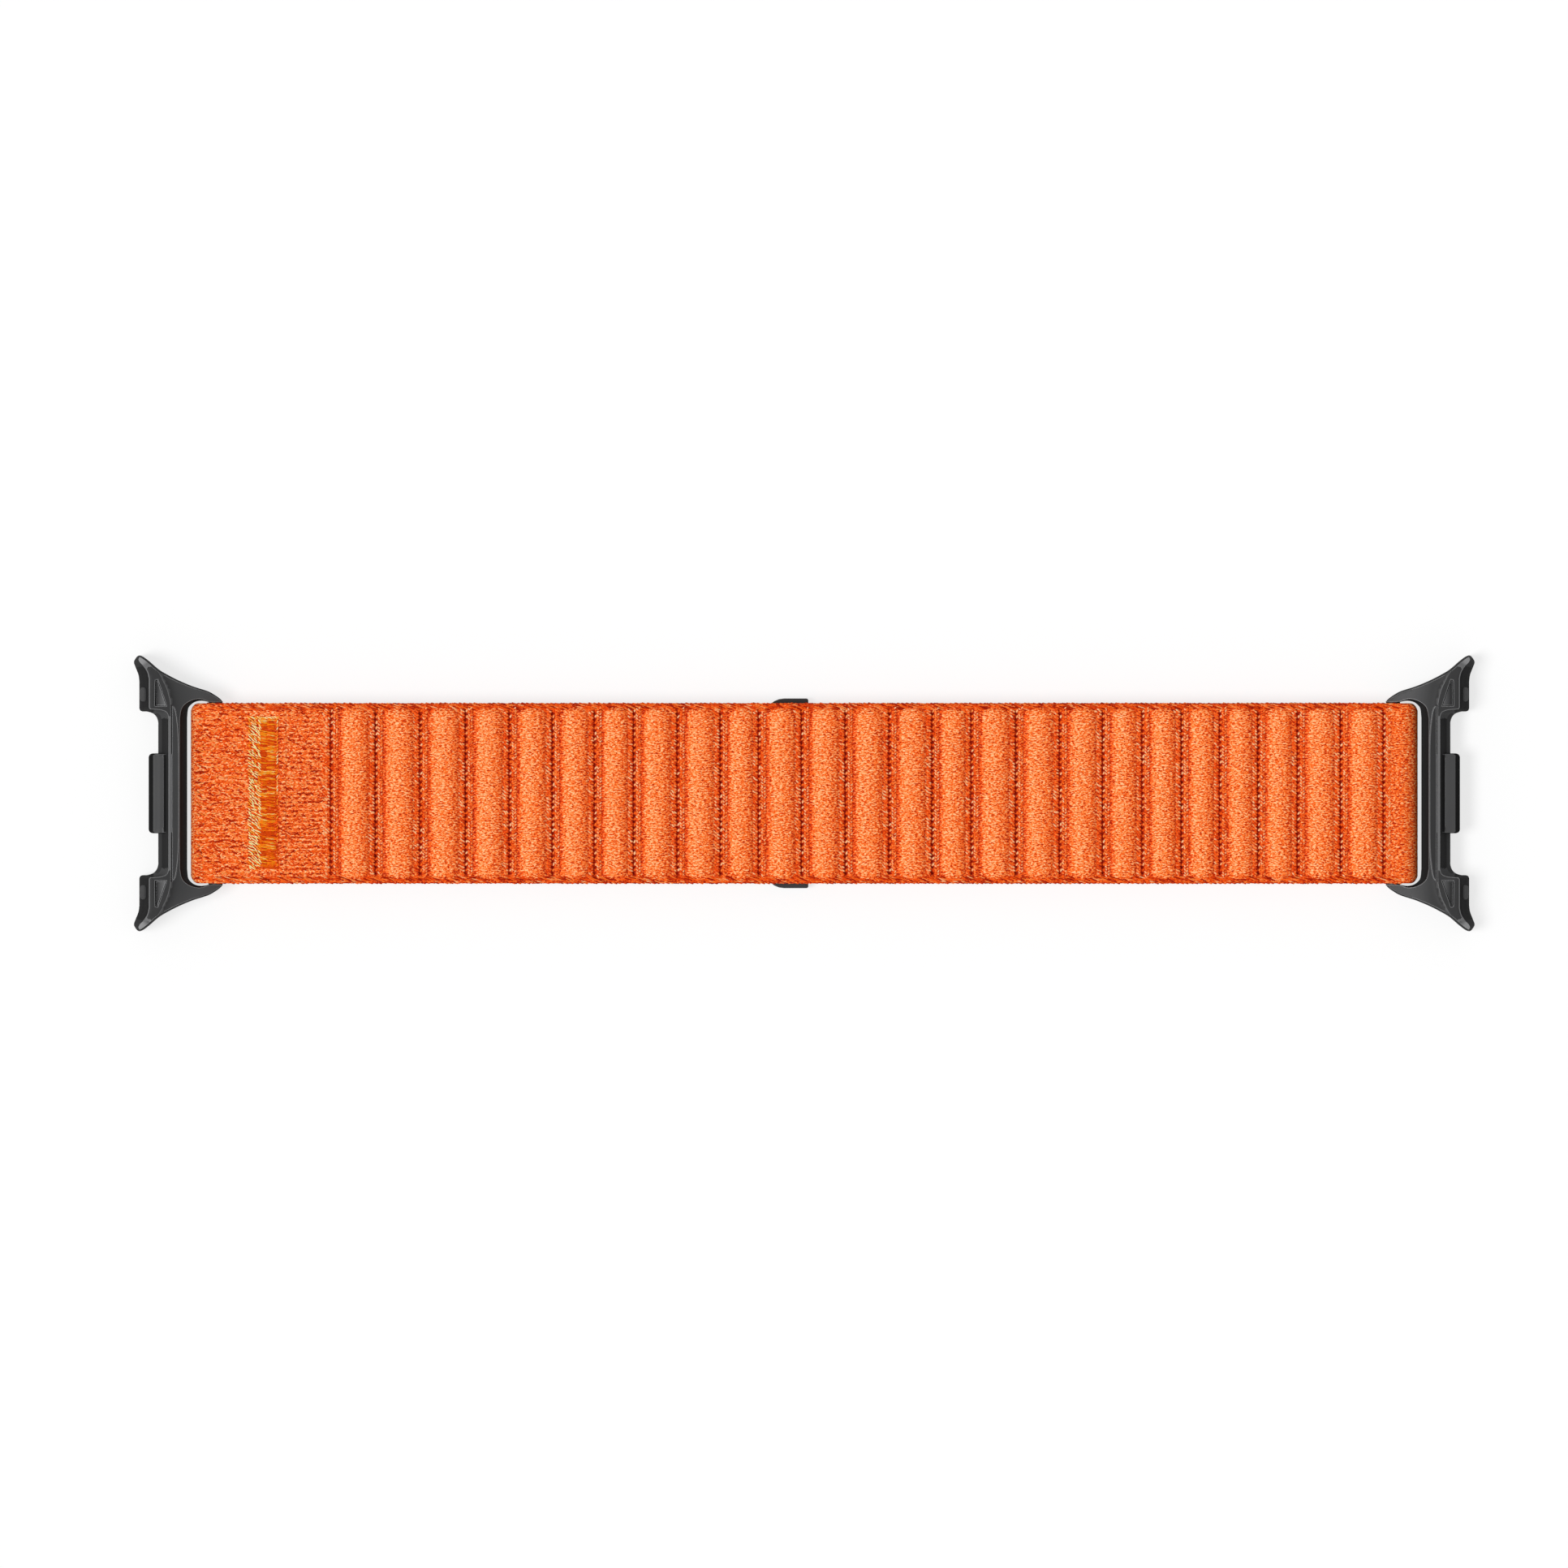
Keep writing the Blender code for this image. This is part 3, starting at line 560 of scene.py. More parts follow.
def band_ring(half_width, half_thickness, skin_step, plain_step):
    """Places across the strap, distances from the fabric's middle, and 1 on the padded side."""
    flat = half_width - half_thickness
    skin = np.linspace(-flat, flat, round(2 * flat / skin_step) + 1)
    plain = np.linspace(flat, -flat, round(2 * flat / plain_step) + 1)
    turn = np.linspace(0, math.pi, EDGE_STEPS * 2 + 1)[1:-1]
    edge_y = flat + half_thickness * np.sin(turn)
    edge_t = half_thickness * np.cos(turn)
    across = np.concatenate([skin, edge_y, plain, -edge_y])
    top = np.full(len(skin), half_thickness)
    lift = np.concatenate([top, edge_t, np.full(len(plain), -half_thickness), -edge_t])
    padded = np.concatenate([np.ones(len(skin)), np.zeros(len(across) - len(skin))])
    return across, lift, padded


FINE_RING = band_ring(HALF_WIDTH, HALF_WEB, SKIN_STEP, PLAIN_STEP)
TAIL_RING = band_ring(HALF_WIDTH, HALF_WEB, 1.5 * SKIN_STEP, PLAIN_STEP)
print("points in the fine ring:", len(FINE_RING[0]))

# %% The path along the strap
GUTTER_STEP = 0.1 * MM
PAD_STEP = 0.2 * MM
GUTTER_ZONE = 1.3 * MM


def rib_place(x):
    """Rib number and share of the rib passed at x, as one number that grows along the strap."""
    numbers = np.arange(RIB_COUNT + 1)
    inside = np.interp(x, GUTTERS, numbers)
    before = np.minimum(x - GUTTERS[0], 0) / MEAN_PITCH
    after = np.maximum(x - GUTTERS[-1], 0) / MEAN_PITCH
    return inside + before + after


def stations_between(low, high):
    """Places along X, close together round the gutters and wider on the pads and the flat end."""
    places = [low]
    while places[-1] < high - 1e-9:
        x = places[-1]
        distance = np.min(np.abs(GUTTERS - x))
        step = GUTTER_STEP if distance < GUTTER_ZONE else PAD_STEP
        marks = GUTTERS[GUTTERS > x + 1e-9]
        ahead = marks[0] if len(marks) else math.inf
        places.append(min(x + step, ahead if ahead - x < step * 1.5 else math.inf, high))
        if high - places[-1] < step * 0.4:
            places[-1] = high
    return np.array(places)


def level_path(low, high, height, facing):
    """A straight stretch of band. Each row: x, z, outward x, outward z, flat length, rib place."""
    places = stations_between(low, high)
    rows = np.zeros((len(places), 6))
    rows[:, 0] = places
    rows[:, 1] = height
    rows[:, 3] = facing
    rows[:, 4] = places
    rows[:, 5] = rib_place(places)
    return rows


# %% Sweeping the ring
def sweep_band(name, path, ring, material, corner_x=None, corner_side=0):
    """A closed stretch of band with its flat map in millimetres and its place among the ribs."""
    across, lift, padded = ring
    stations, points = len(path), len(across)
    x = path[:, 0:1] + path[:, 2:3] * lift[None, :]
    z = path[:, 1:2] + path[:, 3:4] * lift[None, :]
    y = np.repeat(across[None, :], stations, 0)
    if corner_x is not None:
        past = np.clip((corner_x - x) * corner_side / FOLD_CORNER, 0, 0.985)
        inner = HALF_WIDTH - FOLD_CORNER
        outside = np.maximum(np.abs(y) - inner, 0) * np.sqrt(1 - past ** 2)
        y = np.where(np.abs(y) > inner, np.sign(y) * (inner + outside), y)
    faces = tube_faces(stations, points)
    step_x, step_z = path[1, 0:2] - path[0, 0:2]
    if step_x * path[0, 3] - step_z * path[0, 2] < 0:
        faces = [face[::-1] for face in faces]
    mesh = new_mesh(name, np.stack([x, y, z], 2).reshape(-1, 3), faces)
    add_values(mesh, "rib", np.repeat(path[:, 5], points))
    outward = np.zeros((stations, points, 3))
    outward[:, :, 0] = path[:, 2:3] * padded[None, :]
    outward[:, :, 2] = path[:, 3:4] * padded[None, :]
    add_directions(mesh, "outward", outward.reshape(-1, 3))
    add_flat_map(mesh, np.repeat(path[:, 4], points), np.tile(across, stations))
    mesh.materials.append(material)
    return new_object(name, mesh)


def add_values(mesh, name, values):
    layer = mesh.attributes.new(name, "FLOAT", "POINT")
    layer.data.foreach_set("value", values.astype(np.float32))


def add_directions(mesh, name, vectors):
    layer = mesh.attributes.new(name, "FLOAT_VECTOR", "POINT")
    layer.data.foreach_set("vector", vectors.astype(np.float32).ravel())


def add_flat_map(mesh, along, across):
    """The flat map named Rest holds each point's place on the flat fabric, in millimetres."""
    corner = corner_points(mesh)
    both = np.stack([along[corner], across[corner]], 1) / MM
    mesh.uv_layers.new(name="Rest").data.foreach_set("uv", both.astype(np.float32).ravel())


# %% [markdown]
# ## Padded ribs with Geometry Nodes
#
# Each rib repeats the same relief: a crowned pad with rounded ends, a narrow knit row, and a
# gutter pierced by a row of small holes. That is a rule, so a geometry tree makes it: it reads how
# far each point is through its rib, works out the height, and moves the point outwards. The tree
# also leaves two masks for the material, the pad and the holes.

# %% Geometry tree: padded ribs
STORE = "GeometryNodeStoreNamedAttribute"
RIB_SETTINGS = {
    "Pad Height": 0.5 * MM, "Pad Lead": 1.15 * MM, "Pad Trail": 0.8 * MM, "End Round": 1.1 * MM,
    "Pad Reach": HALF_WIDTH - SELVEDGE, "Hole Spacing": 0.70 * MM, "Hole Depth": 0.5 * MM,
    "Hole Reach": 0.28 * MM, "Row Place": 0.55 * MM, "Row Height": 0.1 * MM,
    "Groove Place": 1.0 * MM, "Groove Depth": 0.07 * MM, "Fuzz": 0.05 * MM,
}
CROWN_POWER = 2.4
CROWN_FULLNESS = 0.55
ROW_HALF = 0.3 * MM
GROOVE_HALF = 0.2 * MM


def named(tree, name, data_type="FLOAT"):
    """Reads one of the geometry's own attributes."""
    inputs = {"Name": name}
    return add_node(tree, "GeometryNodeInputNamedAttribute", inputs, data_type=data_type)["Attribute"]


def passed(geometry, kind, inputs=None, **options):
    """The geometry after one more node."""
    inputs = {"Geometry": geometry, **(inputs or {})}
    return add_node(geometry.tree, kind, inputs, **options)["Geometry"]


def make_padded_ribs():
    """Moves each point outwards by the relief at its place among the ribs."""
    inputs = [("Geometry", GEOMETRY, None), ("Pitch", FLOAT, MEAN_PITCH)]
    inputs += [(name, FLOAT, 0.0) for name in RIB_SETTINGS]
    outputs = [("Geometry", GEOMETRY)]
    tree, given, wanted = new_group("GeometryNodeTree", "padded ribs", inputs, outputs)
    rib = named(tree, "rib")
    position = add_node(tree, "GeometryNodeInputPosition")["Position"]
    y = split(position)["Y"]
    inside = given["Pad Reach"] - abs(y)
    past = calc("FRACT", rib) * given["Pitch"]
    ahead = given["Pitch"] - past
    ribbed = (rib > -0.0001) * (rib < RIB_COUNT + 0.0001)
    knitted = (rib > -0.25) * (rib < RIB_COUNT + 0.06)

    width = given["Pitch"] - given["Pad Lead"] - given["Pad Trail"]
    through = clamped((past - given["Pad Lead"]) / width)
    from_crest = abs(through * 2.0 - 1.0) ** CROWN_POWER
    over_end = clamped(1.0 - inside / given["End Round"]) ** CROWN_POWER
    crown = clamped(1.0 - (from_crest + over_end)) ** CROWN_FULLNESS * ribbed

    fade = clamped((inside + 0.1 * MM) / (0.25 * MM)) * knitted
    beat = calc("COSINE", y / given["Hole Spacing"] * math.tau) * 0.5 + 0.5
    column = hump(calc("MINIMUM", past, ahead), 0.0, given["Hole Reach"])
    hole = column * (beat * 0.75 + 0.25) * fade
    row = hump(past, given["Row Place"], ROW_HALF) * fade
    groove = hump(past, given["Groove Place"], GROOVE_HALF) * fade
    rough = noise(position, 2600.0, 1.5, 0.5) - 0.5
    height = crown * given["Pad Height"] - hole * given["Hole Depth"]
    height = height + row * given["Row Height"] - groove * given["Groove Depth"]
    offset = {0: named(tree, "outward", "FLOAT_VECTOR"), "Scale": height + rough * given["Fuzz"]}
    move = add_node(tree, "ShaderNodeVectorMath", offset, operation="SCALE")["Vector"]

    geometry = passed(given["Geometry"], STORE, {"Name": "pad", "Value": crown})
    geometry = passed(geometry, STORE, {"Name": "hole", "Value": hole})
    geometry = passed(geometry, "GeometryNodeSetPosition", {"Offset": move})
    feed(wanted["Geometry"], passed(geometry, "GeometryNodeSetShadeSmooth"))
    return tree


padded_ribs = make_padded_ribs()
print("geometry tree:", padded_ribs.name)

# %% [markdown]
# ## Stitches with Geometry Nodes
#
# A knit is thousands of short arcs of yarn. One small tree bends a tube into a single stitch,
# puts a copy on every point that it is given, and turns and sizes each by that point's own values.
# Real yarn is never quite even, so each copy also gets a tone of its own from a fixed seed.

# %% Geometry tree: stitches
STITCH_TAPER = 0.55


def make_stitches():
    """One bent and tapered tube of yarn, copied to every point."""
    inputs = [("Geometry", GEOMETRY, None), ("Yarn", "NodeSocketMaterial", None),
              ("Arch", FLOAT, 0.9), ("Seed", "NodeSocketInt", 7)]
    outputs = [("Geometry", GEOMETRY)]
    tree, given, wanted = new_group("GeometryNodeTree", "stitches", inputs, outputs)
    middle = add_node(tree, "ShaderNodeCombineXYZ", {"Z": given["Arch"]})["Vector"]
    bend = {"Resolution": 4, "Start": (-0.5, 0.0, -0.5), "Middle": middle, "End": (0.5, 0.0, -0.5)}
    spine = add_node(tree, "GeometryNodeCurveQuadraticBezier", bend)["Curve"]
    circle = {"Resolution": 6, "Radius": 0.5}
    profile = add_node(tree, "GeometryNodeCurvePrimitiveCircle", circle)["Curve"]
    along = add_node(tree, "GeometryNodeSplineParameter")["Factor"]
    spine = passed(spine, STORE, {"Name": "along", "Value": along})
    profile = passed(profile, STORE, {"Name": "around", "Value": along})
    taper = 1.0 - abs(along * 2.0 - 1.0) ** 3.0 * STITCH_TAPER
    tube = {"Curve": spine, "Profile Curve": profile, "Scale": taper, "Fill Caps": True}
    stitch = add_node(tree, "GeometryNodeCurveToMesh", tube)["Mesh"]
    copies = {"Points": given["Geometry"], "Instance": stitch,
              "Rotation": named(tree, "turn", "FLOAT_VECTOR"),
              "Scale": named(tree, "size", "FLOAT_VECTOR")}
    geometry = add_node(tree, "GeometryNodeInstanceOnPoints", copies)["Instances"]
    chance = add_node(tree, "FunctionNodeRandomValue", {"Seed": given["Seed"]})[1]
    tint = {"Name": "tint", "Value": chance + named(tree, "tone")}
    geometry = passed(geometry, STORE, tint, domain="INSTANCE")
    geometry = passed(geometry, "GeometryNodeRealizeInstances")
    geometry = passed(geometry, "GeometryNodeSetShadeSmooth")
    geometry = passed(geometry, "GeometryNodeSetMaterial", {"Material": given["Yarn"]})
    feed(wanted["Geometry"], geometry)
    return tree


stitches = make_stitches()


def mark(place, roll, turn, size, tone):
    """One stitch to sew: its place, its roll about X, its turn about Z, its size and its tone."""
    return [*place, roll, 0.0, turn, *size, tone]


def sew(name, marks, material, arch=0.9, seed=7):
    """Makes a stitch at every mark."""
    marks = np.array(marks)
    mesh = new_mesh(name, marks[:, 0:3], [])
    add_directions(mesh, "turn", marks[:, 3:6])
    add_directions(mesh, "size", marks[:, 6:9])
    add_values(mesh, "tone", marks[:, 9])
    thing = new_object(name, mesh)
    grow(thing, stitches, {"Yarn": material, "Arch": arch, "Seed": seed})
    return thing


print("geometry tree:", stitches.name)

# %% Where the knit's stitches lie
HOLE_SPACING = RIB_SETTINGS["Hole Spacing"]
KNIT_HALF = HALF_WIDTH - 0.75 * MM
YARN_THICKNESS = 0.19 * MM
KNOT_PLACE = 0.14 * MM
KNOT_DEPTH = 0.08 * MM
KNOT_SIZE = (0.36 * MM, 0.25 * MM, 0.3 * MM)
STITCH_JITTER = 0.03 * MM
STITCH_VARIETY = 0.15
# Each column beside a gutter: offset, pitch, shift in pitches, lean in degrees, length and tone.
GUTTER_COLUMNS = (
    (-0.88, 0.42, 0.0, -36, 0.38, 0.12), (-0.58, 0.42, 0.5, -40, 0.38, 0.18),
    (-0.30, 0.40, 0.2, -30, 0.30, 0.05), (0.42, 0.38, 0.2, -52, 0.38, 0.20),
    (0.70, 0.38, 0.7, 46, 0.32, 0.18),
)
EDGE_INSET = 0.13 * MM
EDGE_LEAN = -17
EDGE_TONE = -0.30
FIELD_LEAN = -7
# Each row round an edge of the band: roll in degrees, pitch and length.
EDGE_ROWS = ((-12, 0.50, 0.72), (14, 0.46, 0.80), (40, 0.5, 0.85), (66, 0.5, 0.85), (96, 0.6, 0.9))
# Each flat knit: half width, row pitch, stitch length and width, waver and tone.
FINE_KNIT = (KNIT_HALF, 0.55 * MM, 0.42 * MM, 0.18 * MM, 0.6, -0.22)
OPEN_KNIT = (HALF_WIDTH - 0.6 * MM, 0.65 * MM, 0.60 * MM, 0.22 * MM, 0.5, -0.15)
luck = np.random.default_rng(2024)


def spread(size):
    """A small random number, the same on each run."""
    return luck.uniform(-size, size)


def roll_for(facing):
    """Stitches under the fabric are turned upside down."""
    return 0.0 if facing > 0 else math.pi


def column_marks(x, level, facing, pitch, shift, lean, size, tone, waver=0.25):
    """One column of stitches across the strap. Lean is their turn away from the strap's length."""
    marks = []
    length, width, height = size
    count = int(KNIT_HALF / pitch)
    for number in range(-count, count + 1):
        place = (x + spread(STITCH_JITTER), (number + shift) * pitch + spread(0.04 * MM), level)
        turn = math.radians(lean) + spread(waver)
        length_here = length * (1 + spread(STITCH_VARIETY))
        width_here = width * (1 + spread(STITCH_VARIETY))
        marks.append(mark(place, roll_for(facing), turn, (length_here, width_here, height), tone))
    return marks


def gutter_marks(x, level, facing):
    """The knots and the leaning stitches beside one row of holes."""
    surface = level + facing * HALF_WEB
    sunk = surface - facing * KNOT_DEPTH
    marks = column_marks(x + KNOT_PLACE, sunk, facing, HOLE_SPACING, 0.55, 60, KNOT_SIZE, 0.15)
    for offset, pitch, shift, lean, length, tone in GUTTER_COLUMNS:
        size = (length * MM, YARN_THICKNESS, YARN_THICKNESS)
        place = x + offset * MM
        marks += column_marks(place, surface, facing, pitch * MM, shift, lean, size, tone)
    return marks


def edge_marks(low, high, level, facing):
    """The rows of long slanted yarns that finish both edges of the band."""
    marks = []
    flat = HALF_WIDTH - HALF_WEB - EDGE_INSET
    for roll_degrees, pitch, length in EDGE_ROWS:
        roll = math.radians(roll_degrees)
        count = max(1, round((high - low) / (pitch * MM)))
        size = (length * MM, 0.15 * MM, 0.17 * MM)
        for side in (-1, 1):
            y = side * (flat + HALF_WEB * math.sin(roll))
            z = level + facing * HALF_WEB * math.cos(roll)
            tilt = -side * roll if facing > 0 else math.pi + side * roll
            for number in range(count):
                x = low + (number + 0.5) * (high - low) / count + spread(0.08 * MM)
                turn = math.radians(EDGE_LEAN) + spread(0.12)
                marks.append(mark((x, y, z), tilt, turn, size, EDGE_TONE + spread(0.3)))
    return marks


def field_marks(low, high, half, row_pitch, length, width, waver, tone):
    """Staggered rows of flat stitches along the strap, which make up its flat knit."""
    marks = []
    rows = int(half / row_pitch)
    level = MAIN_MID + HALF_WEB
    count = max(1, round((high - low) / (length * 0.92)))
    for row in range(-rows, rows + 1):
        for number in range(count):
            x = low + (number + 0.5 + 0.5 * (row % 2) - 0.25) * (high - low) / count
            x = min(max(x + spread(length * 0.2), low), high)
            y = row * row_pitch + spread(row_pitch * 0.2)
            turn = math.radians(FIELD_LEAN) + spread(waver)
            size = (length * (1 + spread(0.2)), width * (1 + spread(0.15)), 0.12 * MM)
            marks.append(mark((x, y, level), 0.0, turn, size, tone))
    return marks


print("columns of stitches beside each gutter:", len(GUTTER_COLUMNS))

# %% [markdown]
# ## Woven loops under the ribs
#
# Under each rib the band has a woven loop, and the hook's tongue sits in one of them. Each is a flat
# ribbon across the strap whose ends rise into the band. It is made with the stretch above it.

# %% The woven loops
LOOP_HEIGHT = 2.8 * MM
LOOP_HALF_HEIGHT = 0.2 * MM
LOOP_HALF_LENGTH = 0.8 * MM
LOOP_INNER = HALF_WIDTH - 2.0 * MM
LOOP_OUTER = HALF_WIDTH - 0.5 * MM
LOOP_TOP = MAIN_MID - HALF_WEB + 0.2 * MM
LOOP_STEP = 0.3 * MM
LOOP_BEND_STEPS = 9
LOOP_SECTION_POINTS = 12


def loop_line():
    """The loop seen from the strap's end: y, z, and the direction out of its face."""
    rise = LOOP_TOP - LOOP_HEIGHT
    places = [(y, LOOP_HEIGHT) for y in np.arange(0, LOOP_INNER - LOOP_STEP, LOOP_STEP)]
    for turn in np.linspace(0, math.pi / 2, LOOP_BEND_STEPS):
        places.append((LOOP_INNER + (LOOP_OUTER - LOOP_INNER) * math.sin(turn),
                       LOOP_HEIGHT + rise * (1 - math.cos(turn))))
    half = np.array(places)
    line = np.vstack([half[1:][::-1] * (-1, 1), half])
    return line, outward_from(line)


def make_loops(name, low, high):
    """The ribbons of every rib that lies between low and high, as one object."""
    line, outward = loop_line()
    turns = (np.arange(LOOP_SECTION_POINTS) + 0.5) * math.tau / LOOP_SECTION_POINTS
    square = (np.abs(np.cos(turns)) ** 5 + np.abs(np.sin(turns)) ** 5) ** -0.2
    aside = np.cos(turns) * square * LOOP_HALF_LENGTH
    lift = np.sin(turns) * square * LOOP_HALF_HEIGHT
    length = np.concatenate([[0], np.cumsum(np.linalg.norm(np.diff(line, axis=0), axis=1))])
    corners, faces, along, across = [], [], [], []
    for middle in (GUTTERS[1:] + GUTTERS[:-1]) / 2:
        if not low < middle < high:
            continue
        faces += tube_faces(len(line), len(turns), len(corners))
        for place, out, run in zip(line, outward, length):
            corners += [(middle + x, *(place + out * up)) for x, up in zip(aside, lift)]
            along += [run] * len(turns)
            across += list(middle + aside)
    mesh = new_mesh(name, corners, faces)
    add_flat_map(mesh, np.array(along), np.array(across))
    face_outwards(mesh)
    mesh.materials.append(band_material)
    return new_object(name, mesh)


# %% Making one stretch of band with its stitches
def make_stretch(name, low, high, level=MAIN_MID, facing=1, ring=FINE_RING):
    """The sheet from low to high, its yarns, and the woven loops where its pads face up."""
    sheet = sweep_band(name, level_path(low, high, level, facing), ring, band_material)
    grow(sheet, padded_ribs, RIB_SETTINGS)
    marks = edge_marks(low, high, level, facing)
    for x in GUTTERS:
        if low - 1e-6 <= x < high - 1e-6:
            marks += gutter_marks(x, level, facing)
    if low < GUTTERS[0] and facing > 0:
        marks += field_marks(low, GUTTERS[0] - 1.0 * MM, *FINE_KNIT)
    yarns = sew(f"{name}_yarns", marks, yarn_material)
    if facing > 0:
        return sheet, yarns, make_loops(f"{name}_loops", low, high)
    return sheet, yarns


# %% [markdown]
# ## Joining the stretches to the joints
# Each stretch lies between two gutters where the strap doesn't bend, and spans one joint from end to
# end. It stays where it is made and stands for the model's ribs that it covers; the middle stretch
# rides on the clasp's body.
# what lies between turns smoothly. So the fabric curves as cloth does, and neighbours always meet.

# %% The left half of the band
LEFT_BENDS = (10, 8, 6, 4, 2)
RIGHT_BENDS = (13, 15, 17, 19, 21, 23)
FLAT_END_START = 2 * GUTTERS[0] - GUTTERS[1]


def bend_between(pieces, first, second, start, end, *nodes, level=MAIN_MID):
    """Each piece keeps its place and stands for the nodes. The first and second body, start, end and
    level are not used.
    """
    for piece in pieces:
        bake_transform(piece)
        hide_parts(*nodes)


def ride_on(pieces, body, *nodes):
    """Each piece rides on one body, and stands for the nodes."""
    for piece in pieces:
        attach(piece, body)
        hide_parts(*nodes)


body_before = "clasp_zone"
for bend in LEFT_BENDS:
    body_after = f"left_ribs_{bend:02d}_{bend - 1:02d}"
    low, high = GUTTERS[bend - 1], GUTTERS[bend + 1]
    pieces = make_stretch(f"band_left_{bend:02d}", low, high)
    nodes = [f"rib_{bend:02d}", f"rib_{bend + 1:02d}"]
    bend_between(pieces, body_before, body_after, high, low, *nodes)
    body_before = body_after
pieces = make_stretch("band_left_00", FLAT_END_START, GUTTERS[1])
bend_between(pieces, body_before, "left_sewn_end", GUTTERS[1], FLAT_END_START, "rib_01")
pieces = make_stretch("band_middle", GUTTERS[11], GUTTERS[12])
ride_on(pieces, "clasp_zone", "rib_12")
print("left half done, faces in one stretch:", len(pieces[0].data.polygons))

# %% The right half of the band, with the tail below it
body_before = "clasp_zone"
for bend in RIGHT_BENDS:
    body_after = f"right_ribs_{bend + 1:02d}_{bend + 2:02d}"
    low, high = GUTTERS[bend - 1], GUTTERS[bend + 1]
    pieces = make_stretch(f"band_right_{bend:02d}", low, high)
    bend_between(pieces, body_before, body_after, low, high, f"rib_{bend:02d}", f"rib_{bend + 1:02d}")
    pieces = make_stretch(f"tail_{bend:02d}", low, high, TAIL_MID, -1, TAIL_RING)
    nodes = [f"tail_rib_{bend:02d}", f"tail_rib_{bend + 1:02d}"]
    bend_between(pieces, body_before, body_after, low, high, *nodes)
    body_before = body_after
print("right half done")

# %% [markdown]
# ## The turned ends
#
# At both ends the band turns round the adapter's bar. The path follows the fabric's middle: back
# underneath, round the bar and out along the top. The left end comes back up against the band, where
# it is sewn, and the right end runs on as the tail.

# %% Paths round the bars
FOLD_STEPS = 28
TURNED_UNDER_START = 1.2 * MM
TURNED_UNDER_LENGTH = 7.8 * MM
UNDER_MID = MAIN_MID - WEB_THICKNESS
UNDER_STEP = 0.25 * MM


def half_turn(centre_x, centre_z, radius, direction):
    """Half a turn from the bottom to the top, as rows of x, z, outward x, outward z."""
    rows = []
    for step in range(FOLD_STEPS + 1):
        turn = math.pi * (step / FOLD_STEPS - 0.5)
        out_x, out_z = -direction * math.cos(turn), math.sin(turn)
        rows.append([centre_x + out_x * radius, centre_z + out_z * radius, out_x, out_z])
    return rows


def path_rows(rows, ribs):
    """Adds the flat length, counted from the last row, and the rib place to each row."""
    rows = np.array(rows)
    steps = np.hypot(np.diff(rows[:, 0]), np.diff(rows[:, 1]))
    length = np.concatenate([[0], np.cumsum(steps)])
    return np.column_stack([rows, rows[-1, 0] - length[-1] + length, ribs])


def left_end_path():
    """From the sewn-under edge, down and round the bar, and along the top to the first bend."""
    low = LEFT_BAR + TURNED_UNDER_START
    rise = UNDER_MID - TAIL_MID
    rows = []
    for x in np.arange(LEFT_BAR + TURNED_UNDER_LENGTH, low + rise + UNDER_STEP, -UNDER_STEP):
        rows.append([x, UNDER_MID, 0.0, -1.0])
    for share in np.linspace(0, 1, 11):
        tilt = math.atan(6 * share * (1 - share))
        height = UNDER_MID - rise * smooth(share)
        rows.append([low + rise * (1 - share), height, math.sin(tilt), -math.cos(tilt)])
    rows += half_turn(LEFT_BAR - FOLD_CENTRE, FOLD_MID, FOLD_RADIUS, 1)
    top = stations_between(LEFT_BAR - FOLD_CENTRE, FLAT_END_START)[1:]
    rows += [[x, MAIN_MID, 0.0, 1.0] for x in top]
    made = path_rows(rows, np.zeros(len(rows)))
    made[:, 5] = rib_place(made[:, 4])
    return made


def right_end_path():
    """From the tail's last bend, round the bar and back along the top to the band's last bend."""
    level = stations_between(GUTTERS[-2], RIGHT_BAR + FOLD_CENTRE)[:-1]
    rows = [[x, TAIL_MID, 0.0, -1.0] for x in level]
    turn = half_turn(RIGHT_BAR + FOLD_CENTRE, FOLD_MID, FOLD_RADIUS, -1)
    rows += turn + [[x, MAIN_MID, 0.0, 1.0] for x in level[::-1]]
    ribs = rib_place(level)
    past_ribs = np.full(len(turn), rib_place(RIGHT_BAR + FOLD_REACH))
    return path_rows(rows, np.concatenate([ribs, past_ribs, ribs[::-1]]))


print("points on the left path:", len(left_end_path()), "and the right:", len(right_end_path()))

# %% The two ends of the band
def make_end(name, path, corner_x, corner_side, marks, body, *nodes):
    """One turned end of the band, which rides on one body and stands for the nodes."""
    sheet = sweep_band(name, path, FINE_RING, band_material, corner_x, corner_side)
    # The band under the sewn block is marked, so that its material paints it darker there as shade
    # between the stitches.
    spots = np.array([vertex.co[:] for vertex in sheet.data.vertices])
    along_seam = (spots[:, 0] > SEAM_LOW) & (spots[:, 0] < SEAM_HIGH)
    add_values(sheet.data, "sewn", along_seam & (np.abs(spots[:, 1]) < SEAM_HALF))
    grow(sheet, padded_ribs, RIB_SETTINGS)
    yarns = sew(f"{name}_yarns", marks, yarn_material)
    pieces = [sheet, yarns]
    if GUTTERS[-1] < path[:, 0].max():
        pieces.append(make_loops(f"{name}_loops", GUTTERS[-2], GUTTERS[-1]))
    ride_on(pieces, body, *nodes)
    print(name, "has", len(sheet.data.vertices), "points")


FLAT_LOW = LEFT_BAR - FOLD_CENTRE
SEAM_LOW = LEFT_BAR + 4.15 * MM
SEAM_HIGH = SEAM_LOW + 3.65 * MM
SEAM_HALF = HALF_WIDTH - 1.85 * MM
left_marks = edge_marks(FLAT_LOW, FLAT_END_START, MAIN_MID, 1)
left_marks += field_marks(FLAT_LOW - 1.5 * MM, SEAM_LOW, *OPEN_KNIT)
left_marks += field_marks(SEAM_HIGH, FLAT_END_START, *FINE_KNIT)
make_end("left_end_fabric", left_end_path(), LEFT_BAR - FOLD_REACH + FOLD_CORNER, 1, left_marks,
         "left_sewn_end", "left_end")

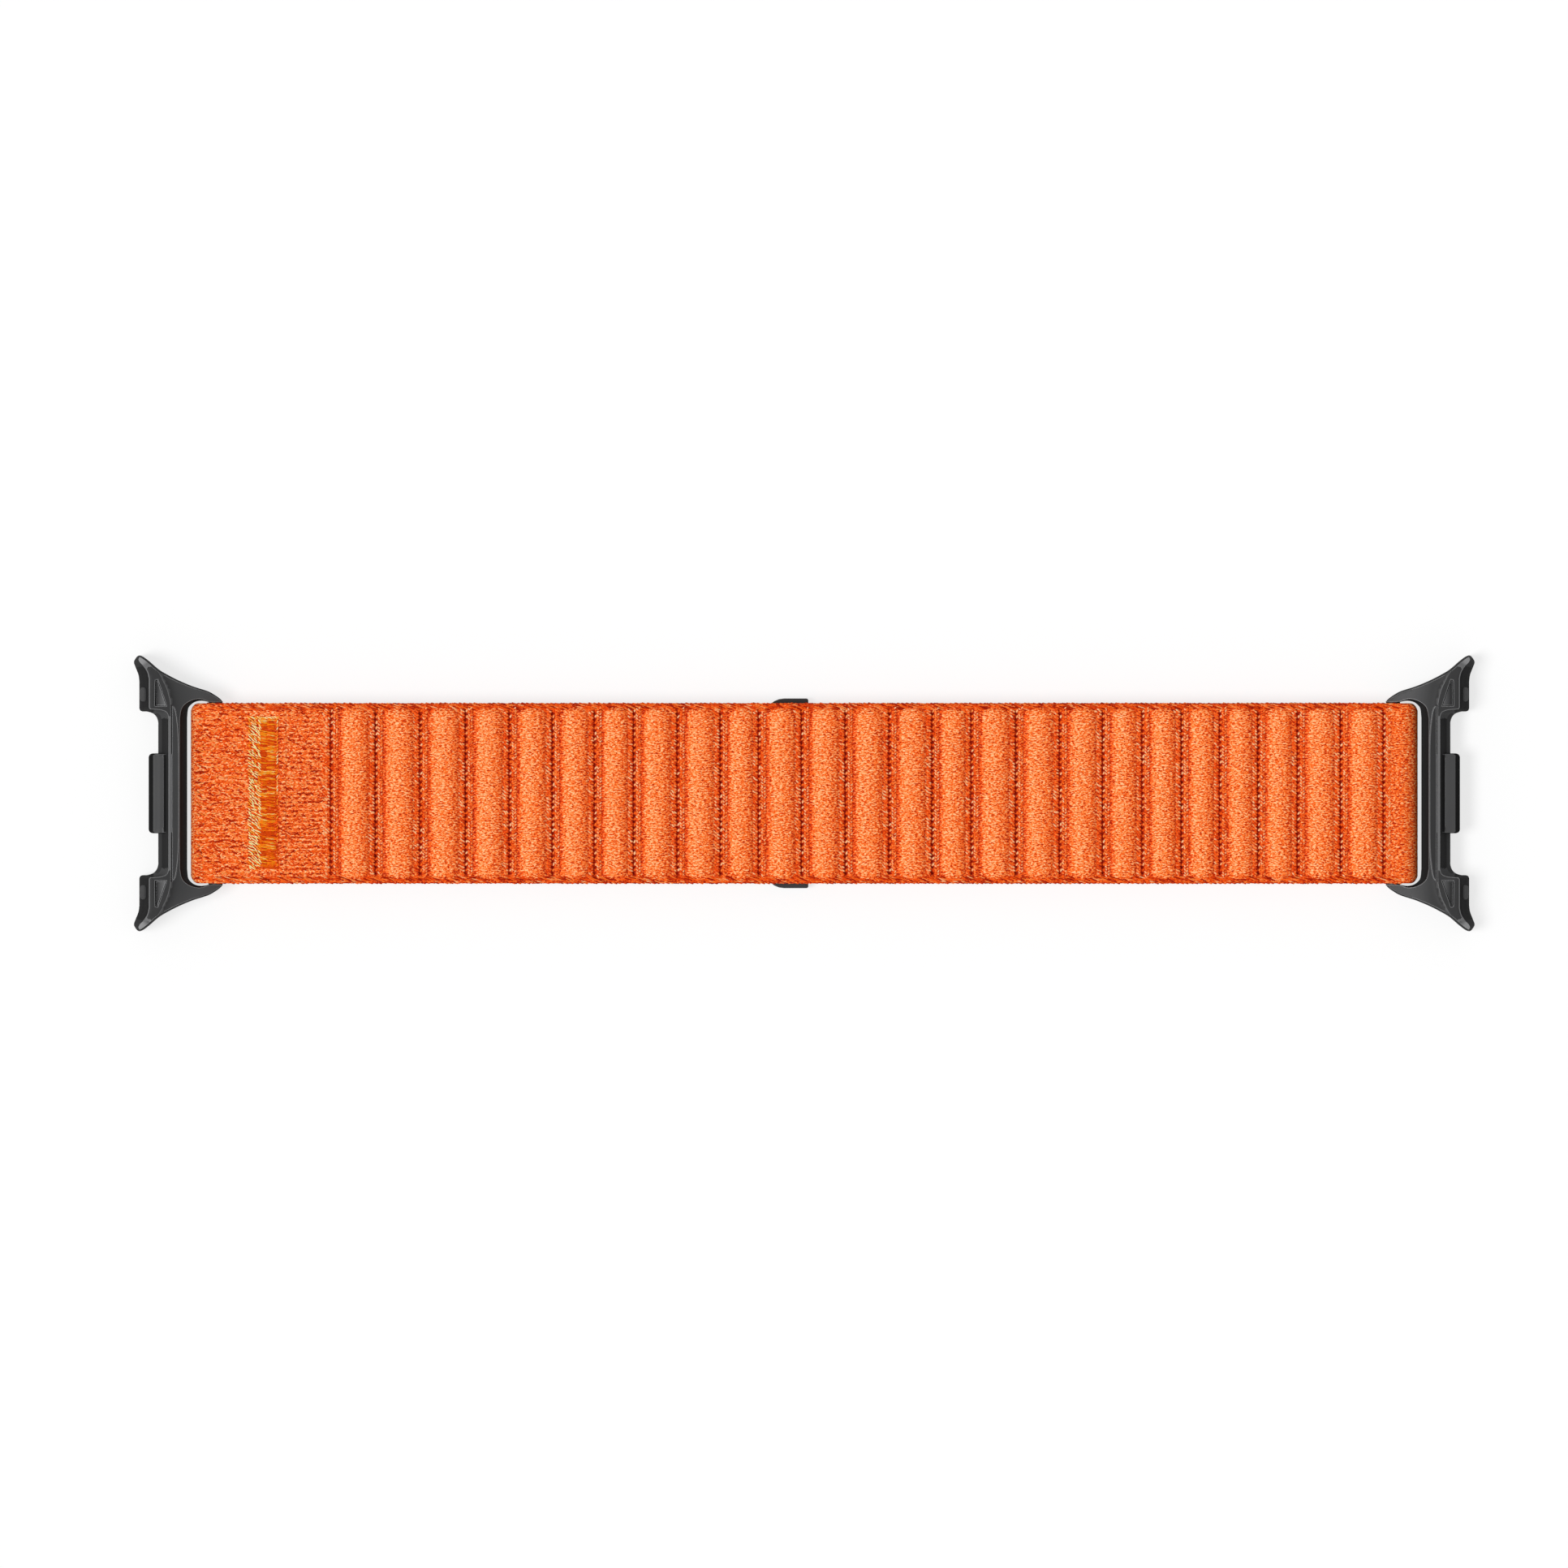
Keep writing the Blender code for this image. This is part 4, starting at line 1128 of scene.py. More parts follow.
FLAT_HIGH = RIGHT_BAR + FOLD_CENTRE
right_marks = edge_marks(GUTTERS[-2], FLAT_HIGH, MAIN_MID, 1)
right_marks += edge_marks(GUTTERS[-2], FLAT_HIGH, TAIL_MID, -1)
for x in GUTTERS[-2:]:
    right_marks += gutter_marks(x, MAIN_MID, 1) + gutter_marks(x, TAIL_MID, -1)
make_end("right_end_fabric", right_end_path(), RIGHT_BAR + FOLD_REACH - FOLD_CORNER, -1, right_marks,
         "right_ribs_24_25", "rib_25", "tail_rib_25", "right_turn")

# %% [markdown]
# ## The tail's end loop
#
# The tail's last stretch is folded round the hook's bar and sewn to itself. It is thinner than the
# band, so it gets a ring of its own.

# %% The end loop round the hook's bar
HOOK_BACK = GUTTERS[11] + 0.8 * MM
HOOK_HALF = HALF_WIDTH + 0.6 * MM
LOOP_HALF_THICKNESS = 0.25 * MM
HOOK_BAR_WIDTH = 1.1 * MM
LOOP_CENTRE = HOOK_BACK - HOOK_BAR_WIDTH + 0.15 * MM
LOOP_RADIUS = 0.9 * MM
LOOP_SHOULDER = HOOK_BACK + 0.3 * MM
LOOP_TAPER = LOOP_SHOULDER + 1.6 * MM
LOOP_HALF = HOOK_HALF - HOOK_BAR_WIDTH - 0.3 * MM
LOOP_RIGHT = GUTTERS[12]
OUTSIDE_THE_RIBS = -5.0
LOOP_RING = band_ring(LOOP_HALF, LOOP_HALF_THICKNESS, 1.5 * SKIN_STEP, PLAIN_STEP)


def end_loop_path():
    """A hairpin: along the bottom to the left, round the bar, and back along the top."""
    places = np.arange(LOOP_RIGHT, LOOP_CENTRE, -PAD_STEP)
    share = np.clip((LOOP_TAPER - places) / (LOOP_TAPER - LOOP_SHOULDER), 0, 1)
    gap = LOOP_HALF_THICKNESS + (LOOP_RADIUS - LOOP_HALF_THICKNESS) * smooth(share)
    rows = [[x, TAIL_MID - lift, 0.0, -1.0] for x, lift in zip(places, gap)]
    rows += half_turn(LOOP_CENTRE, TAIL_MID, LOOP_RADIUS, 1)
    rows += [[x, TAIL_MID + lift, 0.0, 1.0] for x, lift in zip(places[::-1], gap[::-1])]
    return path_rows(rows, np.full(len(rows), OUTSIDE_THE_RIBS))


end_loop = sweep_band("tail_end_loop_fabric", end_loop_path(), LOOP_RING, band_material)
grow(end_loop, padded_ribs, RIB_SETTINGS)
hook_span = ("hook", "clasp_zone", LOOP_SHOULDER, LOOP_RIGHT)
bend_between([end_loop], *hook_span, "tail_end_loop", level=TAIL_MID)
print("end loop:", len(end_loop.data.vertices), "points")

# %% [markdown]
# ## The sewn block
#
# A block of yellow thread closes the left end round its bar. Its stitches slant at the left, lie
# flat along the strap in the middle, and end in a fine column at the right. The tail's end loop has
# a narrower block of the same kind underneath. The stitch tree makes them from other marks.

# %% Sewing the blocks
# Each kind of stitch: length, width and height. A satin stitch is as long as a share of its field.
SLANTED_SIZE = (0.46 * MM, 0.14 * MM, 0.15 * MM)
SATIN_SIZE = (0.52, 0.15 * MM, 0.11 * MM)
COLUMN_SIZE = (0.36 * MM, 0.13 * MM, 0.14 * MM)
END_ROW_SIZE = (0.42 * MM, 0.13 * MM, 0.15 * MM)
# Each kind's lean in degrees.
SLANTED_LEAN, SATIN_LEAN, COLUMN_LEAN, END_ROW_LEAN = -40, -6, 62, -28
SLANTED_COLUMNS = 4
SLANTED_SHARE = 0.42
SATIN_PLACES = (0.27, 0.73)
SATIN_TONE = -0.38
# How far the thread lies out of the fabric, and the satin stitches under the others.
SUNK = 0.03 * MM


def seam_rows(pitch):
    """Places across the seam, one pitch apart."""
    count = int(SEAM_HALF / pitch)
    return [row * pitch for row in range(-count, count + 1)]


def block_marks(low, high, level, facing):
    """Slanted stitches at the left, satin stitches in the middle and a fine column at the right."""
    marks = []
    roll = roll_for(facing)
    slant_width = (high - low) * SLANTED_SHARE
    length, width, height = SLANTED_SIZE
    for y in seam_rows(0.33 * MM):
        for column in range(SLANTED_COLUMNS):
            x = low + slant_width * (column + 0.4) / SLANTED_COLUMNS + spread(0.1 * MM)
            turn = math.radians(SLANTED_LEAN) + spread(0.35)
            size = (length * (1 + spread(0.25)), width, height)
            tone = 0.48 - 0.12 * abs(column - 1) + spread(0.2)
            marks.append(mark((x, y + spread(0.08 * MM), level), roll, turn, size, tone))
    flat_low = low + slant_width * 0.8
    flat_width = high - 0.3 * MM - flat_low
    share_of_width, width, height = SATIN_SIZE
    size = (flat_width * share_of_width, width, height)
    for y in seam_rows(0.17 * MM):
        for share in SATIN_PLACES:
            x = flat_low + flat_width * share + spread(0.12 * MM)
            turn = math.radians(SATIN_LEAN) + spread(0.15)
            marks.append(mark((x, y, level - facing * SUNK), roll, turn, size, SATIN_TONE))
    for y in seam_rows(0.42 * MM):
        tone = 0.2 if y > 0 else -0.35
        place = (high - 0.12 * MM, y, level)
        turn = math.radians(COLUMN_LEAN) + spread(0.3)
        marks.append(mark(place, roll, turn, COLUMN_SIZE, tone + spread(0.15)))
    return marks


def end_row_marks(low, high, y, level):
    """The short row of slanted stitches that closes a block at one end."""
    marks = []
    for x in np.arange(low, high, 0.3 * MM):
        place = (x, y + spread(0.06 * MM), level)
        turn = math.radians(END_ROW_LEAN) + spread(0.3)
        marks.append(mark(place, 0.0, turn, END_ROW_SIZE, 0.2))
    return marks


seam_level = MAIN_MID + HALF_WEB + SUNK
seam_marks = block_marks(SEAM_LOW, SEAM_HIGH, seam_level, 1)
seam_marks += block_marks(SEAM_LOW, SEAM_HIGH, UNDER_MID - HALF_WEB - SUNK, -1)
seam_marks += end_row_marks(SEAM_LOW, SEAM_HIGH, SEAM_HALF + 0.08 * MM, seam_level)
left_thread = sew("left_thread", seam_marks, thread_material, arch=0.8)
ride_on([left_thread], "left_sewn_end", "left_stitching")

TAIL_SEAM_HIGH = GUTTERS[12] - 0.9 * MM
TAIL_SEAM_LOW = TAIL_SEAM_HIGH - 1.5 * MM
tail_marks = block_marks(TAIL_SEAM_LOW, TAIL_SEAM_HIGH, TAIL_MID - HALF_WEB - SUNK, -1)
tail_thread = sew("tail_thread", tail_marks, thread_material, arch=0.8)
bend_between([tail_thread], *hook_span, "tail_stitching", level=TAIL_MID)
print("stitches in the blocks:", len(seam_marks), "and", len(tail_marks))

# %% [markdown]
# ## The adapters
#
# An adapter is one metal casting: a spine with a slot for the band, and two horns that hook into the
# watch case. From above it is a set of faces that meet in clear lines: a steep wall towards the
# case, a flat top with a hollow, and a long narrow facet beside the slot. So it is drawn as those
# lines, in millimetres from the bar and from the middle. Two closed lines, the foot and the top edge
# of the walls, are joined by the walls. A flat triangulation that keeps every inner line fills
# the top, and a height rule lifts it.

# %% Curves for the castings
CURVE_STEP = 0.2


def curve_through(points, step=CURVE_STEP):
    """A smooth curve through the points, with all their columns."""
    points = np.array(points, float)
    padded = np.vstack([2 * points[0] - points[1], points, 2 * points[-1] - points[-2]])
    made = []
    for before, start, end, after in zip(padded, padded[1:], padded[2:], padded[3:]):
        count = max(2, math.ceil(np.hypot(*(end - start)[:2]) / step))
        for share in np.arange(count) / count:
            sway = (2 * before - 5 * start + 4 * end - after) * share ** 2
            sway += (3 * start - before - 3 * end + after) * share ** 3
            made.append(start + ((end - before) * share + sway) / 2)
    return np.array(made + [points[-1]])


def line_through(points, step=CURVE_STEP):
    """Straight lines through the points, in short steps."""
    points = np.array(points, float)
    made = []
    for start, end in zip(points, points[1:]):
        count = max(1, math.ceil(np.hypot(*(end - start)[:2]) / step))
        made += [start + (end - start) * number / count for number in range(count)]
    return np.array(made + [points[-1]])


def is_inside(points, outline):
    """True for each point that lies inside the closed outline."""
    inside = np.zeros(len(points), bool)
    for (x1, y1), (x2, y2) in zip(outline, np.roll(outline, -1, 0)):
        if y1 != y2:
            crosses = (points[:, 1] < y1) != (points[:, 1] < y2)
            at = x1 + (points[:, 1] - y1) / (y2 - y1) * (x2 - x1)
            inside ^= crosses & (points[:, 0] < at)
    return inside


def mirrored(half):
    """The half above the middle line and its mirror image below it, as one closed outline."""
    below = half[1:-1][::-1].copy()
    below[:, 1] *= -1
    if half.shape[1] > 2:
        below[:, 4] *= -1
    return np.vstack([half, below])


def both_ways(half):
    """An open line that ends on the middle line, carried on as its mirror image."""
    below = half[:-1][::-1].copy()
    below[:, 1] *= -1
    return np.vstack([half, below])


# %% A casting from its lines
MERGE_DISTANCE = 0.002 * MM
SHARP_ANGLE = math.radians(30)
# Each ring of a wall: how far out it lies, and how far down, as shares of the whole wall.
WALL_ROWS = ((0.0, 0.0), (0.09, 0.02), (0.18, 0.08), (0.35, 0.29), (0.65, 0.62), (1.0, 1.0))


def fill_flat(outline, lines, grid):
    """Triangles that fill the outline, keep every line, and have a grid of points between them."""
    low, high = outline.min(0), outline.max(0)
    columns = np.arange(low[0] + grid / 2, high[0], grid)
    rows = np.arange(low[1] + grid / 2, high[1], grid)
    spots = np.array(np.meshgrid(columns, rows)).reshape(2, -1).T
    spots = spots[is_inside(spots, outline)]
    kept = np.vstack([outline] + lines)
    gaps = np.array([np.min(np.hypot(*(kept - spot).T)) for spot in spots])
    points = np.vstack([kept, spots[gaps > grid * 0.6]])
    edges = [(number, (number + 1) % len(outline)) for number in range(len(outline))]
    first = len(outline)
    for line in lines:
        edges += [(first + number, first + number + 1) for number in range(len(line) - 1)]
        first += len(line)
    made = delaunay_2d_cdt([Vector(point) for point in points], edges, [], 1, 1e-5)
    return np.array([place[:] for place in made[0]]), [list(face) for face in made[2]]


def cast(name, walls, lines, top, base, grid, material, bar, direction):
    """A closed casting, in millimetres from the bar. Top and base give a height at a reach and a side.

    Each row of walls is the reach, side and height of a wall's foot, the reach and side of its top
    edge, and how far the wall hollows between them.
    """
    foot, edge, foot_height, hollow = walls[:, 0:2], walls[:, 3:5], walls[:, 2], walls[:, 5]
    edge_height = top(edge[:, 0], edge[:, 1])
    loops = []
    for out, down in WALL_ROWS:
        height = edge_height + (foot_height - edge_height) * down - hollow * 4 * out * (1 - out)
        loops.append(np.column_stack([edge + (foot - edge) * out, height]))
    loops.append(np.column_stack([foot, base(foot[:, 0], foot[:, 1])]))
    points = np.vstack(loops)
    faces = ring_faces(len(loops), len(walls))
    for outline, inner, height in ((edge, lines, top), (foot, [], base)):
        plan, triangles = fill_flat(outline, inner, grid)
        first = len(points)
        points = np.vstack([points, np.column_stack([plan, height(plan[:, 0], plan[:, 1])])])
        faces += [[first + corner for corner in face] for face in triangles]
    points = points * MM
    points[:, 0] = bar - direction * points[:, 0]
    return finish_metal(name, new_mesh(name, points, faces), material)


def finish_metal(name, mesh, material):
    """Joins the mesh's loose parts, turns its faces outwards and keeps its real edges sharp."""
    face_outwards(mesh, MERGE_DISTANCE)
    mesh.set_sharp_from_angle(angle=SHARP_ANGLE)
    # Each corner holds a painted brightness for painted light and shade, which starts at 1.
    mesh.attributes.new("finish", "FLOAT", "CORNER")
    set_finish(mesh, np.ones(len(mesh.loops)))
    mesh.materials.clear()
    mesh.materials.append(material)
    return new_object(name, mesh)


def set_finish(mesh, values):
    """Stores how bright each corner of each face is painted, as painted light and shade."""
    mesh.attributes["finish"].data.foreach_set("value", values.astype(np.float32))


def corner_faces(mesh):
    """The number of the face that each face corner belongs to."""
    return np.repeat(np.arange(len(mesh.polygons)), [face.loop_total for face in mesh.polygons])


# %% The lines of an adapter
# Each wall point: the foot's reach, side and height, the top edge's reach and side, and the hollow.
HORN_TOP = 5.4
SLOT_WALL = ((3.56, 0.0, 1.7, 4.37, 0.0, 0.0), (3.56, 9.3, 1.7, 4.37, 9.3, 0.0))
SLOT_CORNER = (
    SLOT_WALL[-1], (3.44, 10.41, 1.7, 4.12, 10.45, 0.0), (3.09, 10.93, 1.8, 3.56, 11.10, 0.0),
    (2.57, 11.28, 2.2, 2.78, 11.50, 0.0), (1.90, 11.42, 3.2, 1.96, 11.64, 0.0),
    (1.25, 11.36, 4.0, 1.30, 11.52, 0.0),
)
SLOT_SIDE = (
    SLOT_CORNER[-1], (0.72, 11.25, 4.0, 0.80, 11.33, 0.0), (-0.10, 11.24, 3.8, -0.10, 11.29, 0.0),
    (-0.92, 11.24, 3.2, -0.84, 11.30, 0.0),
)
TIP_WALL = (
    (9.35, 17.02, 3.2, 9.32, 16.74, 0.0), (9.62, 16.92, 2.6, 9.40, 16.62, 0.0),
    (9.95, 16.52, 2.2, 9.38, 16.42, 0.0), (10.08, 16.12, 2.0, 9.15, 16.10, 0.0),
    (9.86, 15.50, 2.0, 8.70, 15.70, 0.0), (9.52, 14.60, 2.0, 8.24, 14.95, 0.0),
    (9.41, 13.80, 2.0, 8.04, 14.15, 0.0),
)
CASE_WALL = (TIP_WALL[-1], (9.41, 10.50, 2.0, 8.04, 10.62, 0.0))
STEP_CORNER = (
    CASE_WALL[-1], (9.30, 10.22, 2.0, 7.96, 10.44, 0.0), (9.02, 10.10, 2.0, 7.82, 10.37, 0.0),
    (8.43, 10.08, 2.2, 7.50, 10.36, 0.1), (7.68, 9.83, 3.0, 6.60, 10.26, 0.3),
    (7.25, 9.38, 3.4, 5.95, 9.98, 0.4), (7.06, 8.80, 3.5, 5.72, 9.40, 0.45),
    (7.05, 8.40, 3.5, 5.71, 8.90, 0.45),
)
SPINE_WALL = (STEP_CORNER[-1], (7.05, 0.0, 3.5, 5.71, 0.0, 0.45))
# The lines on the top face: reach and side.
OUTER_EDGE = (
    SLOT_SIDE[-1][:2], (-0.82, 11.37), (-0.54, 11.67), (0.0, 12.06), (0.98, 12.60), (2.89, 13.22),
    (4.80, 14.03), (6.53, 14.95), (7.29, 15.48), (8.16, 16.24), (8.92, 16.82), TIP_WALL[0][:2],
)
RIDGE_LINE = (
    (7.05, 15.00), (6.52, 14.10), (6.02, 13.11), (5.70, 12.11), (5.50, 11.12), (5.45, 10.20),
    (5.45, 9.3),
)
RIDGE_REACH = RIDGE_LINE[-1][0]
FACET_NEAR = 5.26
FACET_EDGE = (
    (FACET_NEAR, 10.87), (4.88, 10.15), (4.64, 8.55), (4.54, 7.25), (4.47, 5.0), (4.46, 0.0),
)
FACET_DROP = 0.05
HOLLOW = np.array(((7.38, 13.95), (7.04, 14.05), (5.92, 10.72), (7.42, 10.74)))
HOLLOW_FLOOR = np.array(((7.24, 13.80), (7.10, 13.84), (6.06, 10.82), (7.26, 10.84)))
# The heights of the top face. A drop is how far a face sinks below the flat top of the horns.
BACK_START, BACK_LENGTH, BACK_DROP = 4.6, 5.8, 1.4
TIP_SLOPE_START, TIP_SLOPE, TIP_DROP = 23.6, 0.55, 0.85
FLANK_SIDE, FLANK_FADE, FLANK_LENGTH, FLANK_DROP = 15.3, 1.6, 0.35, 0.36
FACET_SINK, FACET_SLOPE = 0.19, 0.12
HOLLOW_START, HOLLOW_SINK, HOLLOW_SLOPE = 5.9, 0.14, 0.24
# The underside: a height at each reach, from the foot to the lip towards the case.
BASE_REACHES = (-1.21, 0.0, 1.31, 2.42, 3.43, 9.2, 10.28)
BASE_HEIGHTS = (2.0, 1.35, 0.70, 0.25, 0.0, 0.0, 0.81)
ridge = np.vstack([curve_through(RIDGE_LINE), [[RIDGE_REACH, 0.0]]])
facet = curve_through(FACET_EDGE)


def ridge_at(side):
    """Reach of the ridge at a side."""
    return np.interp(side, ridge[::-1, 1], ridge[::-1, 0])


def facet_at(side):
    """Reach of the facet's far edge at a side, and out of the way beyond its end."""
    return np.interp(side, facet[::-1, 1], facet[::-1, 0], right=99)


def outer_edge():
    """The rounded back edge of a horn, whose width grows from the foot to the tip."""
    plan = curve_through(OUTER_EDGE)
    past_foot = np.clip(np.linspace(0, 8, len(plan)), 0, 1)
    width = (0.05 + 0.10 * past_foot + np.linspace(0, 0.07, len(plan)))[:, None]
    edge = plan + outward_from(plan) * width
    edge[0], edge[-1] = SLOT_SIDE[-1][3:5], TIP_WALL[0][3:5]
    height = top_of_adapter(edge[:, 0], edge[:, 1]) - np.linspace(0.35, 0.9, len(plan))
    height[0], height[-1] = SLOT_SIDE[-1][2], TIP_WALL[0][2]
    return np.column_stack([plan, height, edge, np.zeros(len(plan))])


def top_of_adapter(reach, side):
    """Height of the top faces, with the ridge, the long facet and the hollow."""
    side = np.abs(side)
    past_back = np.clip((BACK_START - reach) / BACK_LENGTH, 0, 1)
    past_tip = np.clip((reach + side - TIP_SLOPE_START) * TIP_SLOPE, 0, 1.4)
    height = HORN_TOP - BACK_DROP * past_back ** 1.5 - TIP_DROP * past_tip ** 1.2
    past_ridge = np.maximum(ridge_at(side) - reach, 0)
    on_flank = np.clip((FLANK_SIDE - side) / FLANK_FADE, 0, 1)
    height -= FLANK_DROP * on_flank * (1 - np.exp(-past_ridge / FLANK_LENGTH))
    facet_height = HORN_TOP - FACET_SINK + FACET_SLOPE * (FACET_NEAR - reach)
    on_facet = (reach <= FACET_NEAR + 1e-4) & (reach >= facet_at(side) - 1e-4)
    height = np.where(on_facet, facet_height, height)
    floor_height = HORN_TOP - HOLLOW_SINK - HOLLOW_SLOPE * (reach - HOLLOW_START)
    in_hollow = is_inside(np.column_stack([reach, side]), grown(HOLLOW_FLOOR, 1.01))
    return np.where(in_hollow, floor_height, height)


def base_of_adapter(reach, side):
    """Height of the underside."""
    return np.interp(reach, BASE_REACHES, BASE_HEIGHTS)


def grown(corners, share):
    """The outline made larger about its own middle."""
    centre = corners.mean(0)
    return centre + (corners - centre) * share


def closed_outline(*curves):
    """Curves joined end to end, and closed by their mirror image."""
    return mirrored(np.vstack([curves[0]] + [curve[1:] for curve in curves[1:]]))


def adapter_walls():
    """All round the slot's half, the horn and the spine, and back along the mirror image."""
    return closed_outline(
        line_through(SLOT_WALL), curve_through(SLOT_CORNER), curve_through(SLOT_SIDE), outer_edge(),
        curve_through(TIP_WALL), line_through(CASE_WALL), curve_through(STEP_CORNER),
        line_through(SPINE_WALL),
    )


def adapter_lines():
    """The ridge, both sides of the facet, and the rims and floors of the two hollows."""
    near = line_through(((FACET_NEAR, FACET_EDGE[0][1]), (FACET_NEAR, 0.0)))
    straight = line_through(ridge[-2:])[1:]
    half_lines = (np.vstack([curve_through(RIDGE_LINE), straight]), near, facet,
                  facet[2:] - (FACET_DROP, 0.0))
    lines = [both_ways(half) for half in half_lines]
    for side in (1, -1):
        for corners in (HOLLOW, HOLLOW_FLOOR):
            lines.append(line_through(np.vstack([corners, corners[:1]]) * (1, side)))
    return lines


print("points round an adapter:", len(adapter_walls()))

# %% Painted light and shade on each face of an adapter
TIP_START = 24.0
TIP_SIDE = 15.6
CASE_REACH = 5.7
SPINE_SIDE = 9.4
STEP_NEAR, STEP_FAR, STEP_REACH = 9.2, 10.4, 7.6
SLOT_REACH, SLOT_END = 4.4, 11.6
STEEP = 0.6
FACE_TONE = 0.72
STRIP_HIGHLIGHT = 2.1
FACET_TONE = 0.70
WALL_SHADE = 0.5
CASE_WALL_SHADE = 0.25
SLOT_WALL_SHADE = 0.30
HOLLOW_RIM_HIGHLIGHT = 2.0


def seen_from_bar(points, bar, direction):
    """Reach from the bar and side from the middle, in millimetres."""
    return (bar / MM - points[:, 0]) * direction, np.abs(points[:, 1])


def finish_faces(thing, bar, direction):
    """Painted shade on the walls, painted highlights on a strip, the tip and the rims, and flanks
    painted brighter away from the ridge.
    """
    mesh = thing.data
    centres = np.array([face.center[:] for face in mesh.polygons]) / MM
    spots = np.array([vertex.co[:] for vertex in mesh.vertices])[corner_points(mesh)] / MM
    reach, side = seen_from_bar(centres, bar, direction)
    spot_reach, spot_side = seen_from_bar(spots, bar, direction)
    owner = corner_faces(mesh)
    limit = facet_at(side)
    hollow_mask = is_inside(np.column_stack([reach, side]), HOLLOW)
    floor_mask = is_inside(np.column_stack([reach, side]), HOLLOW_FLOOR)
    tilt = np.abs([face.normal.z for face in mesh.polygons])
    value = np.full(len(mesh.loops), FACE_TONE)

    def paint(faces, tone):
        """Gives the corners of some faces a tone, which may change over the surface."""
        chosen = faces[owner]
        value[chosen] = (tone + np.zeros(len(value)))[chosen]

    steep = tilt < STEEP
    past_line = ridge_at(spot_side) - spot_reach
    flank = 0.60 + 0.60 * np.clip(past_line / 3.6, 0, 1) ** 0.8
    crest = 1.2 * np.clip(1 - past_line / 0.12, 0, 1)
    tip = 1.3 + 3.6 * np.clip((spot_reach + spot_side - TIP_START) / 1.1, 0, 1)
    floor_tone = 0.45 + 1.5 * np.clip((7.25 - spot_reach) / 1.1, 0, 1)
    case_side = (reach > CASE_REACH) & (side < TIP_SIDE) & ((side < 13.5) | (reach > 7.9))
    rounded = (tilt > STEEP) & (tilt < 0.96) & (reach > 7.8) & (side < 15.8) & ~hollow_mask
    # Painted light and shade: the walls and grooves are painted dark as shade, the strip, tip, rims and
    # hollow's rim painted light as highlights, and the flanks and hollow's floor get painted gradients.
    paint((reach < ridge_at(side)) & (side < TIP_SIDE), flank + crest)
    paint((reach < 5.72) & (reach > RIDGE_REACH) & (side < 9.5), STRIP_HIGHLIGHT)
    paint((reach < RIDGE_REACH) & (reach > FACET_NEAR) & (side < 10.9), 0.5)
    paint((reach < FACET_NEAR) & (reach > limit), FACET_TONE)
    paint((reach < limit) & (reach > limit - FACET_DROP), 1.6)
    paint(reach + side > TIP_START, tip)
    paint(steep, WALL_SHADE)
    paint(hollow_mask, HOLLOW_RIM_HIGHLIGHT)
    paint(hollow_mask & (reach > 7.17), 0.3)
    paint(floor_mask, floor_tone)
    paint(steep & case_side, CASE_WALL_SHADE)
    paint(rounded, 2.6)
    paint(steep & (reach > CASE_REACH) & (side < SPINE_SIDE), 0.42)
    paint(steep & (reach < SLOT_REACH) & (side < SLOT_END), SLOT_WALL_SHADE)
    on_step = (reach > CASE_REACH) & (reach < STEP_REACH) & (side > STEP_NEAR) & (side < STEP_FAR)
    paint(steep & on_step, 1.1)
    set_finish(mesh, value)


# %% [markdown]
# ## Latch, dampers and cross bar
#
# The latch is a plate with rounded corners and a sloped lip. Each damper is a small rubber pillow on the
# steep wall. The cross bar is a plain round pin through the band's fold.

# %% The latch
LATCH_TOP = 4.42
LATCH_BASE = 1.3
LATCH_WAVE = 0.035
LATCH_BACK = ((5.20, 0.0, 4.3, 5.32, 0.0, 0.0), (5.20, 4.93, 4.3, 5.32, 4.81, 0.0))
LATCH_SIDE = (LATCH_BACK[-1], (7.50, 4.93, 4.28, 7.26, 4.81, 0.0))
LATCH_CORNER = (
    LATCH_SIDE[-1], (7.76, 4.92, 4.15, 7.42, 4.79, 0.0), (8.07, 4.78, 3.95, 7.53, 4.70, 0.0),
    (8.21, 4.50, 3.80, 7.58, 4.50, 0.0), (8.22, 4.20, 3.76, 7.58, 4.20, 0.0),
)
LATCH_FRONT = (LATCH_CORNER[-1], (8.22, 0.0, 3.76, 7.58, 0.0, 0.0))
LATCH_SLOPE_SHADE = 0.18


def top_of_latch(reach, side):
    """Nearly flat, with two soft waves, and rising where it meets the spine."""
    rise = np.clip((6.45 - reach) / 0.75, 0, 1) ** 1.6
    return LATCH_TOP + 0.97 * np.minimum(rise, 0.93) + LATCH_WAVE * np.sin((reach - 6.3) * 4.2)


def base_of_latch(reach, side):
    return np.full(len(reach), LATCH_BASE)


def make_latch(name, bar, direction):
    """The latch's plate, with painted shade on its sloped faces."""
    walls = closed_outline(line_through(LATCH_BACK), line_through(LATCH_SIDE),
                           curve_through(LATCH_CORNER, 0.1), line_through(LATCH_FRONT))
    plate = cast(name, walls, [], top_of_latch, base_of_latch, 0.3, latch_metal, bar, direction)
    sloped = np.array([abs(face.normal.z) < 0.85 for face in plate.data.polygons])
    # The sloped faces are painted darker, as shade.
    set_finish(plate.data, np.where(sloped, LATCH_SLOPE_SHADE, 1.0)[corner_faces(plate.data)])
    return plate


# %% The dampers and the cross bar
BUMPER_SIDE = 12.2
BUMPER_HALF_LENGTH = 0.95
BUMPER_HALF_WIDTH = 0.885
